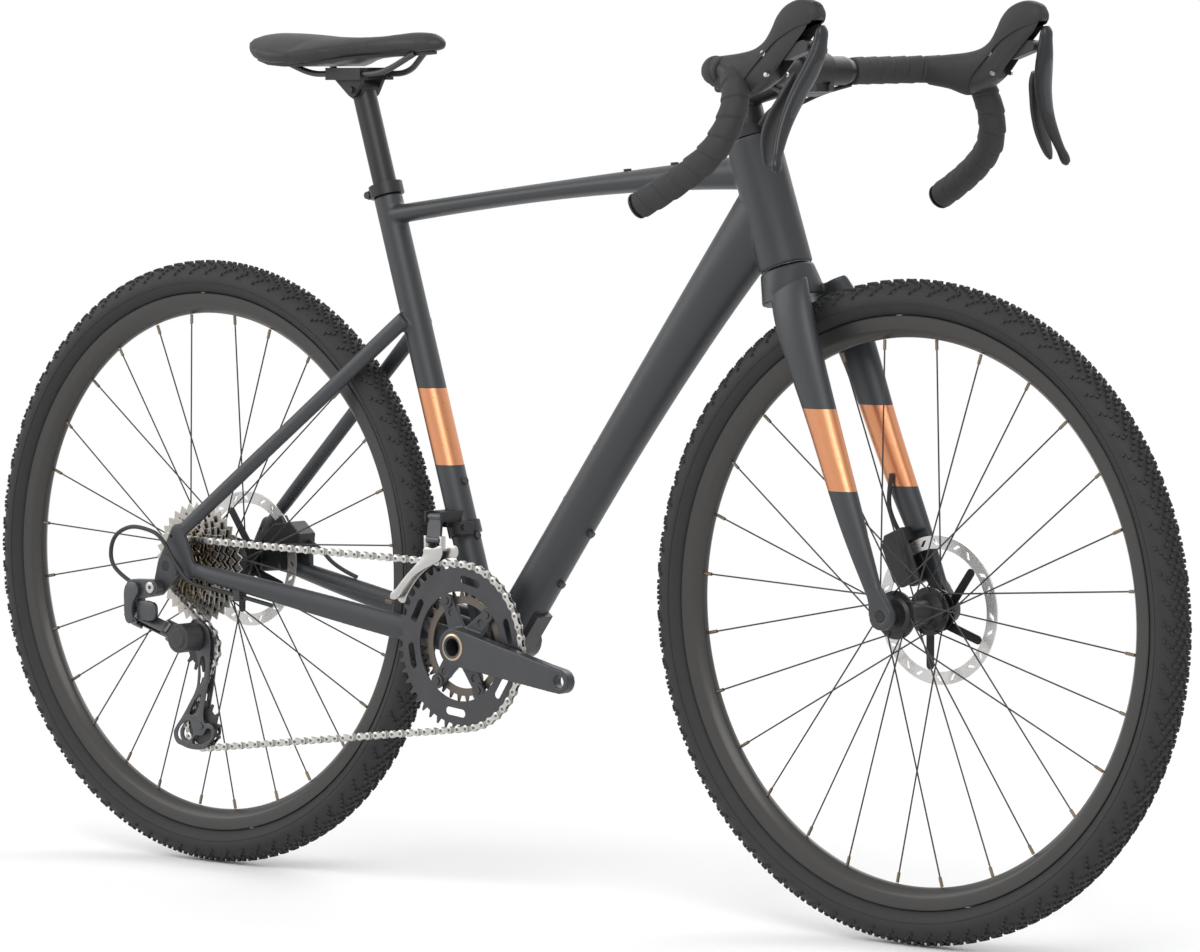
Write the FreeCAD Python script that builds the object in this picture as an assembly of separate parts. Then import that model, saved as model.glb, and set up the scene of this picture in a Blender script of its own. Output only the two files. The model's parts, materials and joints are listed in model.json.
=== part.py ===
import FreeCAD, Part
import math
import os

os.makedirs("parts", exist_ok=True)

# Gravel bike in millimetres. X points forward, Y to the rider's left, Z up.
# The origin is on the ground, half way between the two wheel centres.

# Frame geometry
wheelbase = 1054.0
chainstay_length = 446.0
bottom_bracket_drop = 70.0
head_angle = 71.0
seat_angle = 72.8
head_tube_length = 146.0
seat_tube_length = 528.0
fork_rake = 49.0
axle_to_crown = 403.0
running_clearance = 0.05
seal_gap = 2.0

# Tubes of the frame
head_tube_radius = 29.5
bearing_radius = 26.0
bearing_bore = 20.0
bearing_height = 8.0
seat_tube_radius = 16.5
down_tube_radius = 25.5
down_tube_ahead = 22.0
down_tube_up_head = 85.0
down_tube_flare = 42.0
top_tube_below_seat = 23.0
top_tube_below_top = 37.0
top_tube_sections = (
    # share of the way, rise, half depth, half width
    (0.0, 0.0, 11.0, 14.5), (0.46, 6.0, 10.5, 18.0), (0.81, 4.2, 15.0, 21.0), (1.0, 0.0, 20.0, 25.0))
shell_radius = 23.0
shell_bore = 17.4
shell_width = 68.0
seatstay_below_seat = 145.0
seatstay_side = 18.0
seatstay_sections = (
    # share of the way, half width, half depth
    (0.0, 3.4, 8.0), (0.12, 6.5, 8.5), (0.4, 6.5, 9.0), (0.7, 6.5, 9.5), (1.0, 7.0, 10.0))
chainstay_sections = (
    # share of the way, lift, side, half depth, half width
    (0.0545, -1.8, 25.0, 16.0, 8.0), (0.2225, -1.6, 37.0, 15.0, 8.0), (0.5449, -0.1, 52.0, 13.5, 8.0),
    (0.8627, 1.6, 70.0, 10.0, 7.0), (0.9263, 1.7, 74.5, 9.5, 3.4))
dropout_thickness = 8.0
rear_spacing = 142.0
front_spacing = 100.0
axle_radius = 6.0
eyelet_radius = 2.5
hanger_thickness = 4.0
collar_height = 14.0
collar_clearance = 0.1
collar_ear_out = 4.0
collar_ear_half = 9.0
small_bolt_radius = 2.5
small_head_radius = 4.2
bolt_room = 0.15

# Wheels
tyre_radius = 356.0
tyre_width = 45.0
tyre_wall = 3.0
tread_extra = 1.0
tyre_facets = 16
tyre_neck_share = 0.47
bead_width = 2.4
bead_gap = 0.2
bead_lift = 0.3
bead_seat_radius = 311.0
rim_edge_radius = 317.5
rim_inner_radius = 293.5
rim_half_width = 13.3
rim_wall = 1.8
spoke_count = 28
spoke_radius = 1.0
nipple_radius = 2.0
nipple_length = 11.0
rim_spoke_offset = 3.0
front_right_flange = -33.0
front_left_flange = 24.0
rear_right_flange = -19.5
rear_left_flange = 35.0
flange_radius = 26.0
flange_thickness = 3.2
spoke_circle = 22.0
front_first_spoke = 97.6
rear_first_spoke = 96.5
rotor_radius = 80.0
rotor_track = 14.0
rotor_thickness = 1.8
front_rotor_side = 39.5
rear_rotor_side = 55.0
rotor_slots = 20
spider_arms = 5
rotor_bore = 18.0
hub_radius = 14.0
end_cap_radius = 10.0

# Drive
chain_pitch = 12.7
roller_radius = 3.85
chain_inner_gap = 2.2
chain_plate = 0.75
ring_teeth = (46, 30)
ring_sides = (-50.4, -43.4)
ring_thickness = 1.8
cog_teeth = (11, 13, 15, 17, 19, 21, 23, 25, 27, 30, 34)
cog_in_use = 2
first_cog_side = -63.8
cog_spacing = 3.74
cog_thickness = 1.5
freehub_radius = 16.0
pulley_teeth = 13
pulley_thickness = 2.0
crank_length = 172.5
crank_droop = 9.0
crank_face = 64.0
pedal_face = 76.0
pedal_thread_radius = 7.1
pedal_thread_length = 13.5
spindle_radius = 12.0
spindle_bore = 10.0
bolt_circle_radius = 55.0
small_bolt_circle_radius = 40.0
spider_angles = (52.0, 122.0, 238.0, 308.0)
ring_bolt_radius = 4.0
cup_radius = 22.0
cup_width = 10.5
tooth_shape = ((-5.6, 3.0), (-2.9, -4.1), (2.9, -4.1), (5.6, 3.0))
idle_tooth_shape = ((0.0, -4.1), (6.35, 2.6))

# Rear derailleur, places given from the rear wheel's centre
b_pivot = (-11.0, -26.0)
p_axis = (29.0, -83.0)
guide_arm = 12.5
tension_arm = 105.0
pulley_spread_angle = 15.5
cage_gap = 4.2
cage_plate = 2.0
link_start = (-38.0, -91.5, -58.0)
link_vector = (44.0, 6.0, -15.0)
link_axis_line = (0.1875, 0.589, 0.786)
link_spread = 16.0
link_half_width = 6.5
link_half_thickness = 2.2
link_eye_radius = 4.2
link_pin_radius = 2.0
lug_gap = 0.35
lug_thickness = 2.6
clutch_radius = 17.0
clutch_sides = (-92.0, -66.0)
cage_shaft_radius = 5.0

# Front derailleur, heights from the ground
band_up_seat = 134.0
band_height = 14.0
band_thickness = 3.0
fd_pivot = (-41.0, 144.0)
fd_lower_pivot = (-44.0, 118.0)
fd_pin_radius = 2.0
fd_half_width = 10.0
fd_cage_radii = (97.5, 113.0)
fd_cage_angles = (95.0, 157.0)
fd_outer_side = -54.5
fd_inner_side = -45.5
fd_plate = 1.0

# Seat; x is measured from the rear wheel's centre and z from the ground
post_radius = 13.6
post_length = 300.0
post_shown = 127.0
post_drop = 60.0
post_end_room = 12.0
clamp_bolt_radius = 4.0
clamp_head_radius = 11.0
clamp_head_half_width = 14.0
rail_radius = 3.5
rail_line = ((-86.8, 35.0, 31.3), (-61.8, 22.0, 18.3), (51.2, 22.0, 18.3), (88.2, 8.0, 41.3))
jaw_x = (-33.8, 21.2)
jaw_half_height = 7.0
saddle_sections = (
    # x, half width, top, widest height, bottom
    (-138.8, 40.0, 65.3, 59.3, 53.3), (-132.8, 54.0, 66.8, 55.3, 45.3), (-118.8, 65.0, 67.3, 49.3, 37.3),
    (-96.8, 71.0, 66.3, 45.3, 32.3), (-71.8, 71.0, 64.3, 42.3, 30.3), (-46.8, 65.0, 62.3, 43.3, 30.3),
    (-26.8, 55.0, 61.8, 46.3, 33.3), (-6.8, 43.0, 61.8, 49.3, 36.8), (13.2, 33.0, 62.3, 51.3, 39.3),
    (38.2, 25.0, 63.8, 53.3, 40.8), (68.2, 21.0, 65.8, 54.3, 41.8), (98.2, 18.5, 66.3, 54.8, 42.8),
    (113.2, 15.5, 64.3, 54.3, 43.8), (122.2, 11.0, 60.3, 52.8, 45.3), (126.2, 6.0, 56.3, 52.3, 48.3))
saddle_tuck = 5.0
base_inset = 7.0
base_thickness = 3.5

# Cockpit; the bar, hoods and levers are measured from the middle of the handlebar
steerer_radius = 14.3
seat_race_radius = 19.95
stem_length = 100.0
stem_rise = 13.0
stem_height = 42.0
stem_radius = 20.0
stack_height = 33.0
cap_radius = 18.0
bar_clamp_radius = 15.9
clamp_outer_radius = 20.5
clamp_half_width = 23.0
faceplate_gap = 1.2
pinch_half = 11.0
bar_radius = 11.9
bar_clear = 56.0
bar_line = (
    # side, x, z
    (182.0, 1.9, 1.2), (200.0, 68.9, 2.2), (222.0, 80.9, -51.8), (243.0, 50.9, -103.8),
    (255.0, -23.1, -139.8))
tape_radius = 15.4
tape_step = 0.9
tape_gap = 0.4
wrap_length = 13.0
hood_sections = (
    # x, y, z, direction x, direction z, half width, half height
    (24.9, -182.5, 1.2, 1.0, 0.0, 16.5, 16.0), (62.9, -192.0, 2.2, 1.0, 0.1, 19.5, 23.0),
    (102.9, -191.0, 12.2, 0.9, 0.4, 19.0, 27.0), (133.9, -190.0, 33.2, 0.8, 0.7, 17.5, 25.0),
    (153.9, -190.0, 57.2, 0.6, 0.8, 15.0, 19.0), (159.9, -190.0, 71.2, 0.5, 0.9, 8.0, 10.0))
lever_slot = ((114.9, -31.8), (200.9, -31.8), (200.9, 52.2), (162.9, 52.2), (114.9, 36.2))
lever_slot_sides = (-200.5, -183.5)
brake_pivot = (130.9, 18.2)
brake_pin_radius = 2.5
carrier_end = (154.9, 26.2, 6.5)
carrier_sides = (-199.0, -185.0)
lever_pivot = (-192.0, 26.2)
lever_pin_end = 176.9
lever_pin_radius = 2.0
paddle_eye_radius = 4.2
lever_eye_radius = 7.5
lever_sections = (
    # x, y, z, half width, half thickness
    (173.9, -191.0, 45.2, 6.0, 4.0), (171.4, -192.0, 28.2, 8.0, 6.5), (164.4, -199.0, 1.2, 8.0, 5.0),
    (154.9, -211.0, -26.8, 7.0, 4.5), (151.9, -226.0, -56.8, 6.5, 4.2), (154.4, -238.0, -81.8, 6.0, 4.0),
    (157.9, -246.0, -98.8, 4.5, 3.2))
paddle_pivot = (-201.0, -2.8)
paddle_pin_x = (142.9, 153.9, 162.9)
paddle_sections = (
    # x, y, z, half width, half thickness
    (147.9, -203.0, -3.8, 5.0, 3.5), (140.9, -213.0, -26.8, 6.0, 3.0), (135.9, -228.0, -53.8, 8.0, 2.6),
    (134.9, -236.0, -76.8, 9.0, 2.5), (136.9, -240.0, -95.8, 6.0, 2.2))

# Fork; a leg's sections lie along the line from the axle to the crown
fork_sections = (
    # share of the way, ahead, side, half depth, half width
    (0.930, 20.3, 33.0, 25.0, 13.0), (0.882, 19.7, 39.0, 26.0, 14.0), (0.584, 12.4, 48.0, 20.0, 13.5),
    (0.355, 5.7, 51.5, 17.0, 12.0), (0.152, 2.1, 55.0, 13.0, 8.0), (0.041, 0.3, 56.0, 10.0, 5.5))
tyre_room = 10.0
tyre_side_room = 2.5
fork_end_thickness = 11.0
fork_end_radius = 15.0

tape_shares = (0.30, 0.62)

# Brakes
pad_gap = 0.45
pad_thickness = 4.5
pad_circle = 70.0
caliper_half_length = 28.0
front_pad_angle = 131.0
rear_pad_angle = 33.0
hose_radius = 2.5
bar_hose_radius = 2.0

# Frame fittings, at shares of their tubes' runs
top_tube_bolt_shares = (0.651, 0.7757)


def vec(x, y, z):
    return FreeCAD.Vector(x, y, z)


def unit(direction):
    return direction * (1.0 / direction.Length)


def rod(start, end, radius):
    return Part.makeCylinder(radius, (end - start).Length, start, end - start)


def pipe(start, end, outer, inner):
    beyond = unit(end - start)
    return rod(start, end, outer).cut(rod(start - beyond, end + beyond, inner))


def across(x, z, y_low, y_high, radius):
    return Part.makeCylinder(radius, y_high - y_low, vec(x, y_low, z), vec(0, 1, 0))


def ring(x, z, y_low, y_high, outer, inner):
    return across(x, z, y_low, y_high, outer).cut(across(x, z, y_low - 1, y_high + 1, inner))


def block(x_low, x_high, y_low, y_high, z_low, z_high):
    return Part.makeBox(x_high - x_low, y_high - y_low, z_high - z_low, vec(x_low, y_low, z_low))


def polygon(points):
    return Part.Face(Part.makePolygon(points + [points[0]]))


def slab(outline, y_low, y_high):
    face = polygon([vec(x, y_low, z) for x, z in outline])
    return face.extrude(vec(0, y_high - y_low, 0))


def turned(x, z, profile):
    """Turn a closed profile of (radius, side) points about the line through (x, z) along Y."""
    face = polygon([vec(x + radius, side, z) for radius, side in profile])
    return face.revolve(vec(x, 0, z), vec(0, 1, 0), 360)


def belt(circles, y_low, y_high):
    """Plate whose outline is a belt round circles (x, z, radius), given counter-clockwise."""
    normals = []
    count = len(circles)
    for i in range(count):
        x0, z0, r0 = circles[i]
        x1, z1, r1 = circles[(i + 1) % count]
        length = math.hypot(x1 - x0, z1 - z0)
        dx, dz = (x1 - x0) / length, (z1 - z0) / length
        lean = (r0 - r1) / length
        square = math.sqrt(1 - lean * lean)
        normals.append((dx * lean + dz * square, dz * lean - dx * square))
    edges = []
    for i in range(count):
        x, z, r = circles[i]
        before, after = normals[i - 1], normals[i]
        start = vec(x + r * before[0], y_low, z + r * before[1])
        end = vec(x + r * after[0], y_low, z + r * after[1])
        turn = (math.atan2(after[1], after[0]) - math.atan2(before[1], before[0])) % (2 * math.pi)
        middle = math.atan2(before[1], before[0]) + turn / 2
        if turn > 0.001:
            half_way = vec(x + r * math.cos(middle), y_low, z + r * math.sin(middle))
            edges.append(Part.Arc(start, half_way, end).toShape())
        x1, z1, r1 = circles[(i + 1) % count]
        edges.append(Part.makeLine(end, vec(x1 + r1 * after[0], y_low, z1 + r1 * after[1])))
    return Part.Face(Part.Wire(edges)).extrude(vec(0, y_high - y_low, 0))


def oval(centre, along, side, half_side, half_other):
    """Ellipse round centre, square to along, with one half axis on side."""
    n = unit(along)
    a = unit(side - n * side.dot(n))
    b = n.cross(a)
    matrix = FreeCAD.Matrix(
        a.x * half_side, b.x * half_other, n.x, centre.x,
        a.y * half_side, b.y * half_other, n.y, centre.y,
        a.z * half_side, b.z * half_other, n.z, centre.z, 0, 0, 0, 1)
    return Part.Wire(Part.makeCircle(1.0).transformGeometry(matrix).Edges)


def prism(start, end, side, half_side, half_other):
    """Rectangular bar from start to end, with one half width on side."""
    n = unit(end - start)
    a = unit(side - n * side.dot(n)) * half_side
    b = n.cross(unit(a)) * half_other
    return polygon([start + a + b, start - a + b, start - a - b, start + a - b]).extrude(end - start)


def hex_bar(start, end, radius):
    n = unit(end - start)
    a = unit(n.cross(side_left if abs(n.y) < 0.9 else vec(1, 0, 0)))
    b = n.cross(a)
    turns = [math.radians(60 * i) for i in range(6)]
    corners = [start + a * (radius * math.cos(turn)) + b * (radius * math.sin(turn)) for turn in turns]
    return polygon(corners).extrude(end - start)


def loft(wires, ruled=False):
    return Part.makeLoft(wires, True, ruled)


def route(points, radii=None):
    """Straight runs joined by tangent arcs, each as large as its runs allow."""
    edges = []
    last = points[0]
    for i in range(1, len(points) - 1):
        back, ahead = points[i - 1] - points[i], points[i + 1] - points[i]
        half_turn = (math.pi - back.getAngle(ahead)) / 2
        reach = 0.45 * min(back.Length, ahead.Length)
        if radii:
            reach = min(reach, radii * math.tan(half_turn))
        start = points[i] + unit(back) * reach
        end = points[i] + unit(ahead) * reach
        inward = unit(unit(back) + unit(ahead))
        radius = reach / math.tan(half_turn)
        middle = points[i] + inward * (radius / math.cos(half_turn) - radius)
        edges.append(Part.makeLine(last, start))
        edges.append(Part.Arc(start, middle, end).toShape())
        last = end
    edges.append(Part.makeLine(last, points[-1]))
    return Part.Wire(edges)


def bent_rod(points, radius, radii=None):
    path = route(points, radii)
    section = Part.Wire(Part.makeCircle(radius, points[0], points[1] - points[0]))
    return path.makePipeShell([section], True, True)


def mirrored(shape):
    return shape.mirror(vec(0, 0, 0), vec(0, 1, 0))


def fused(shapes):
    return shapes[0].multiFuse(shapes[1:]).removeSplitter()


def keep(node, solids):
    shapes = [one for shape in solids for one in shape.Solids]
    whole = shapes[0] if len(shapes) == 1 else Part.makeCompound(shapes)
    whole.exportStep("parts/" + node + ".step")


def place(x, y, z):
    """Point with x measured from the rear wheel's centre and z from the ground."""
    return vec(x - wheelbase / 2, y, z)


# Reference points
face_gap = 0.3
spider_inner_gap = shell_width / 2 + cup_width + 0.5
spider_inner = ring_sides[1] - ring_thickness / 2
spider_outer = ring_sides[0] + ring_thickness / 2
pulley_pin_radius = 3.0
cog_plane = first_cog_side + cog_in_use * cog_spacing
axle_height = tyre_radius
rear = vec(-wheelbase / 2, 0, axle_height)
front = vec(wheelbase / 2, 0, axle_height)
shell_reach = math.sqrt(chainstay_length ** 2 - bottom_bracket_drop ** 2)
shell = rear + vec(shell_reach, 0, -bottom_bracket_drop)
lean = math.radians(head_angle)
steer_up = vec(-math.cos(lean), 0, math.sin(lean))
steer_ahead = vec(math.sin(lean), 0, math.cos(lean))
crown = front - steer_ahead * fork_rake + steer_up * math.sqrt(axle_to_crown ** 2 - fork_rake ** 2)
head_low = crown + steer_up * seal_gap
head_top = head_low + steer_up * head_tube_length
seat_lean = math.radians(seat_angle)
seat_up = vec(-math.cos(seat_lean), 0, math.sin(seat_lean))
seat_top = shell + seat_up * seat_tube_length
saddle_pivot = seat_top + seat_up * post_shown
side_left = vec(0, 1, 0)
cage_pivot = rear + vec(p_axis[0], 0, p_axis[1])
hanger_outer = -rear_spacing / 2 - dropout_thickness - hanger_thickness
link_a = unit(vec(*link_axis_line))
link_u = unit(vec(*link_vector) - link_a * vec(*link_vector).dot(link_a))
link_w = link_a.cross(link_u)
upper_pivot = rear + vec(*link_start)
lower_pivot = upper_pivot + link_u * vec(*link_vector).Length
second_pivot = link_w * link_spread


def top_tube_line():
    """Where the top tube leaves the seat tube, and its run to the head tube."""
    start = seat_top - seat_up * top_tube_below_seat
    return start, head_top - steer_up * top_tube_below_top - start


def top_tube_top(share):
    """Point on the top of the top tube at a share of its run."""
    start, run = top_tube_line()
    for near, far in zip(top_tube_sections, top_tube_sections[1:]):
        if near[0] <= share <= far[0]:
            part = (share - near[0]) / (far[0] - near[0])
            rise, depth = (near[k] + (far[k] - near[k]) * part for k in (1, 2))
            return start + run * share + vec(0, 0, rise + depth)


def frame_tubes():
    """Main tubes, mitred against each other as they are before welding."""
    head_solid = rod(head_low, head_top, head_tube_radius)
    head_bore = rod(head_low - steer_up, head_top + steer_up, bearing_radius + running_clearance)
    seat_solid = rod(shell, seat_top, seat_tube_radius)
    shell_solid = across(shell.x, shell.z, -shell_width / 2, shell_width / 2, shell_radius)
    shell_hole = across(shell.x, shell.z, -shell_width, shell_width, shell_bore)
    post_low = saddle_pivot - seat_up * (post_length + post_drop + post_end_room)
    post_hole = rod(post_low, seat_top + seat_up, post_radius + running_clearance)

    low = shell + vec(down_tube_ahead, 0, 0)
    high = head_low + steer_up * down_tube_up_head
    run = high - low
    below = unit(run.cross(side_left)) * -1
    if below.z > 0:
        below = below * -1
    sections = []
    for share, depth, width in ((0.0, down_tube_radius, down_tube_radius),
                                (0.5, down_tube_radius, down_tube_radius),
                                (0.85, down_tube_radius + 7.5, down_tube_radius + 2),
                                (1.05, down_tube_flare, head_tube_radius - 1)):
        middle = low + run * share + below * (depth - down_tube_radius)
        sections.append(oval(middle, run, side_left, width, depth))
    down = loft(sections).cut(head_solid).cut(shell_solid).cut(seat_solid)

    start, run = top_tube_line()
    sections = []
    for share, rise, depth, width in top_tube_sections:
        middle = start + run * share + vec(0, 0, rise)
        sections.append(oval(middle, run, side_left, width, depth))
    top = loft(sections).cut(head_solid).cut(seat_solid).cut(down)
    tubes = [head_solid.cut(head_bore), seat_solid.cut(shell_solid).cut(post_hole), down, top]
    return [largest(tube) for tube in tubes] + [shell_solid.cut(shell_hole)]


def largest(shape):
    return max(shape.Solids, key=lambda solid: solid.Volume)


def rear_stays():
    """Right chainstay, dropout and seatstay, and their mirror images."""
    inner = -rear_spacing / 2
    outer = inner - dropout_thickness
    shell_solid = across(shell.x, shell.z, -shell_width, shell_width, shell_radius)
    seat_solid = rod(shell, seat_top, seat_tube_radius)
    sections = []
    for share, lift, side, depth, width in chainstay_sections:
        middle = shell + (rear - shell) * share + vec(0, -side, lift)
        sections.append(oval(middle, vec(1, 0, 0), side_left, width, depth))
    chainstay = loft(sections).cut(shell_solid)
    corners = [(rear.x, rear.z, 17.0), (rear.x + 33, rear.z - 4, 10.0), (rear.x + 14, rear.z + 40, 9.5)]
    dropout = belt(corners, outer, inner)
    dropout = dropout.cut(across(rear.x, rear.z, outer - 1, inner + 1, axle_radius + running_clearance))
    dropout = dropout.cut(across(rear.x + 5, rear.z + 34, outer - 1, inner + 1, eyelet_radius))
    low = rear + vec(12, (inner + outer) / 2 + 0.5, 36)
    high = seat_top - seat_up * seatstay_below_seat - side_left * seatstay_side
    sections = []
    for share, width, depth in seatstay_sections:
        sections.append(oval(low + (high - low) * share, high - low, side_left, width, depth))
    seatstay = loft(sections).cut(seat_solid).cut(dropout)
    chainstay = largest(chainstay.cut(dropout))
    stays = [chainstay, dropout, largest(seatstay)]
    return stays + [mirrored(stay) for stay in stays]


def hanger_and_collar():
    """Derailleur hanger on the right dropout, and the split collar round the seat tube's top."""
    inner = -rear_spacing / 2 - dropout_thickness
    hanger = belt([(rear.x, rear.z, 13.0), (rear.x + b_pivot[0], rear.z + b_pivot[1], 9.5),
                   (rear.x + 17, rear.z - 6, 6.5)], inner - hanger_thickness, inner)
    hanger = hanger.cut(across(rear.x, rear.z, inner - 20, inner + 1, axle_radius + running_clearance))
    keep("derailleur_hanger", [hanger])

    low = seat_top
    high = seat_top + seat_up * collar_height
    collar = pipe(low, high, seat_tube_radius + 3.2, post_radius + collar_clearance)
    back = seat_up.cross(side_left)
    back = back * (-1 if back.x > 0 else 1)
    middle = (low + high) * 0.5
    ear_place = middle + back * (seat_tube_radius + collar_ear_out)
    half = side_left * collar_ear_half
    ears = rod(ear_place - half, ear_place + half, 5.2)
    post_room = rod(low - seat_up * 2, high + seat_up * 2, post_radius + collar_clearance)
    collar = collar.fuse(ears).cut(post_room)
    slot = prism(low - seat_up, high + seat_up, side_left, 1.0, 40.0).translated(back * 40.0)
    collar = collar.cut(slot)
    collar = collar.cut(rod(ear_place - half * 2, ear_place + half * 2, small_bolt_radius + bolt_room))
    collar = collar.cut(rod(ear_place - half * 2, ear_place - half, small_head_radius + bolt_room))
    keep("seat_collar", [largest(collar)])
    return ear_place


def wheel(node, centre, right_flange, left_flange, ends, rotor_side, first_angle):
    """Tyre, rim, spokes, hub and rotor of one wheel."""
    x, z = centre.x, centre.z
    half = tyre_width / 2
    middle = tyre_radius - half
    bead = rim_half_width - rim_wall - bead_gap
    neck = half * tyre_neck_share
    low, wide = middle - neck, math.sqrt(half * half - neck * neck)
    bore = half - tyre_wall
    bore_wide = math.sqrt(bore * bore - neck * neck)
    crown_inner = middle + bore - tread_extra
    foot = bead_seat_radius + bead_lift
    above = rim_edge_radius + 0.5
    throat = above + bead_width / 2
    heel = bead - bead_width

    def arch(side, top):
        middle = (top * top - low * low - side * side) / (2 * (top - low))
        reach = math.atan2(side, low - middle)
        turns = [reach * (2 * i / tyre_facets - 1) for i in range(tyre_facets + 1)]
        return [(middle + (top - middle) * math.cos(turn), (top - middle) * math.sin(turn)) for turn in turns]

    profile = [(foot, -bead), (above, -bead)] + arch(wide, tyre_radius)
    profile += [(above, bead), (foot, bead), (foot, heel), (throat, heel)]
    profile += arch(-bore_wide, crown_inner) + [(throat, -heel), (foot, -heel)]
    tyre = turned(x, z, profile)
    keep(node + "_tyre", [tyre])

    inside = rim_half_width - rim_wall
    half_profile = [(rim_edge_radius, -rim_half_width), (rim_edge_radius - 14, -rim_half_width + 0.4),
                    (rim_inner_radius + 3, -rim_half_width + 5.5), (rim_inner_radius, -rim_half_width + 9.5)]
    bed = [(bead_seat_radius - 5, -inside + 7), (bead_seat_radius, -inside + 3),
           (bead_seat_radius, -inside), (rim_edge_radius, -inside)]
    profile = half_profile + [(r, -s) for r, s in reversed(half_profile)]
    profile += [(r, -s) for r, s in reversed(bed)] + bed
    keep(node + "_rim", [turned(x, z, profile)])

    step = 360.0 / spoke_count
    crossing = 4 * step
    spokes = []
    for i in range(spoke_count):
        to_left = i % 2 == 1
        leading = (i // 2) % 2 == 0
        rim_angle = math.radians(first_angle + i * step)
        hub_angle = rim_angle + math.radians(crossing if leading else -crossing)
        side = left_flange if to_left else right_flange
        stand = flange_thickness / 2 + spoke_radius + 0.3
        outward = 1 if side > 0 else -1
        side += stand * outward if leading else -stand * outward
        start = vec(x + spoke_circle * math.cos(hub_angle), side, z + spoke_circle * math.sin(hub_angle))
        rim_side = rim_spoke_offset if to_left else -rim_spoke_offset
        end = vec(x + (rim_inner_radius - 0.6) * math.cos(rim_angle), rim_side,
                  z + (rim_inner_radius - 0.6) * math.sin(rim_angle))
        shoulder = end - unit(end - start) * nipple_length
        spokes += [hex_bar(start, shoulder, spoke_radius), hex_bar(shoulder, end, nipple_radius)]
    keep(node + "_spokes", spokes)

    right_end, left_end = ends
    thick = flange_thickness / 2
    bore = axle_radius + running_clearance
    spline = rotor_bore - 0.2
    profile = [(bore, right_end), (end_cap_radius, right_end), (end_cap_radius, right_flange - thick - 3),
               (hub_radius + 3, right_flange - thick - 3), (flange_radius - 6, right_flange - thick),
               (flange_radius, right_flange - thick), (flange_radius, right_flange + thick),
               (flange_radius - 6, right_flange + thick), (hub_radius, right_flange + thick + 8),
               (hub_radius, left_flange - thick - 8), (flange_radius - 6, left_flange - thick),
               (flange_radius, left_flange - thick), (flange_radius, left_flange + thick),
               (flange_radius - 6, left_flange + thick), (spline, left_flange + thick + 3),
               (spline, rotor_side + 4), (end_cap_radius, rotor_side + 5), (end_cap_radius, left_end),
               (bore, left_end)]
    keep(node + "_hub", [turned(x, z, profile)])
    keep(node + "_rotor", rotor(x, z, rotor_side))


def rotor(x, z, side):
    """Slotted braking ring riveted to the arms of a spider, which fits the hub's spline."""
    low, high = side - rotor_thickness / 2, side + rotor_thickness / 2
    inner = rotor_radius - rotor_track
    track = ring(x, z, low, high, rotor_radius, inner)
    slots = []
    for i in range(rotor_slots):
        angle = 2 * math.pi * i / rotor_slots
        lean = angle + (0.07 if i % 2 else -0.07)
        r0, r1 = inner + 4.2, rotor_radius - 4.2
        corners = []
        for radius, at_angle in ((r0, angle), (r1, lean)):
            for offset in ((-2.2, 2.2) if radius == r0 else (2.2, -2.2)):
                turn = at_angle + offset / radius
                corners.append((x + radius * math.cos(turn), z + radius * math.sin(turn)))
        slots.append(slab(corners, low - 1, high + 1))
    for slot in slots:
        track = track.cut(slot)
    hub = across(x, z, low - 1, high + 1, rotor_bore + 5)
    arms = []
    for i in range(spider_arms):
        angle = 2 * math.pi * (i + 0.25) / spider_arms
        bend = angle + 0.45
        reach = inner - 0.2
        tip = (x + (reach - 5) * math.cos(bend), z + (reach - 5) * math.sin(bend), 4.8)
        foot = (x + rotor_bore * math.cos(angle), z + rotor_bore * math.sin(angle), 5.0)
        arms.append(belt([foot, tip], low, high))
    spider = fused([hub] + arms).cut(across(x, z, low - 2, high + 2, rotor_bore))
    return [track, spider]


def pitch_radius(teeth):
    return chain_pitch / (2 * math.sin(math.pi / teeth))


def toothed(centre, teeth, phase, middle, thickness, shape=tooth_shape):
    """Sprocket plate with a valley at the phase angle and then at every pitch."""
    outline = []
    for i in range(teeth):
        angle = phase + 2 * math.pi * i / teeth
        radial = (math.cos(angle), math.sin(angle))
        for along, rise in shape:
            out = pitch_radius(teeth) + rise
            outline.append((centre.x + out * radial[0] - along * radial[1],
                            centre.z + out * radial[1] + along * radial[0]))
    return slab(outline, middle - thickness / 2, middle + thickness / 2)


def hung(turn, length):
    """Point of the derailleur cage at a length from its pivot, turned forward from straight down."""
    return cage_pivot + vec(length * math.sin(turn), 0, -length * math.cos(turn))


def chain_course(cage_turn):
    """Pieces of the chain's pitch line for one cage angle, as (kind, data, number of pitches)."""
    guide = hung(cage_turn + math.radians(pulley_spread_angle), guide_arm)
    tension = hung(cage_turn, tension_arm)
    wheels = [(rear, cog_teeth[cog_in_use], 1), (shell, ring_teeth[0], 1),
              (tension, pulley_teeth, 1), (guide, pulley_teeth, -1)]
    leaving, arriving = [], []
    for i in range(4):
        here, teeth, sense = wheels[i]
        there, next_teeth, next_sense = wheels[(i + 1) % 4]
        apart = vec(there.x - here.x, 0, there.z - here.z)
        lean = (sense * pitch_radius(teeth) - next_sense * pitch_radius(next_teeth)) / apart.Length
        ahead = unit(apart)
        normal = ahead * lean + vec(-ahead.z, 0, ahead.x) * math.sqrt(1 - lean * lean)
        leaving.append(here + normal * (sense * pitch_radius(teeth)))
        arriving.append(there + normal * (next_sense * pitch_radius(next_teeth)))
    course = []
    for i in range(4):
        centre, teeth, sense = wheels[i]
        first = arriving[i - 1] - centre
        last = leaving[i] - centre
        begin, finish = math.atan2(first.z, first.x), math.atan2(last.z, last.x)
        swept = ((begin - finish) * sense) % (2 * math.pi)
        course.append(("arc", (centre, teeth, begin, -sense), swept * teeth / (2 * math.pi)))
        course.append(("run", (leaving[i], arriving[i]), (arriving[i] - leaving[i]).Length / chain_pitch))
    return course, guide, tension


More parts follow.
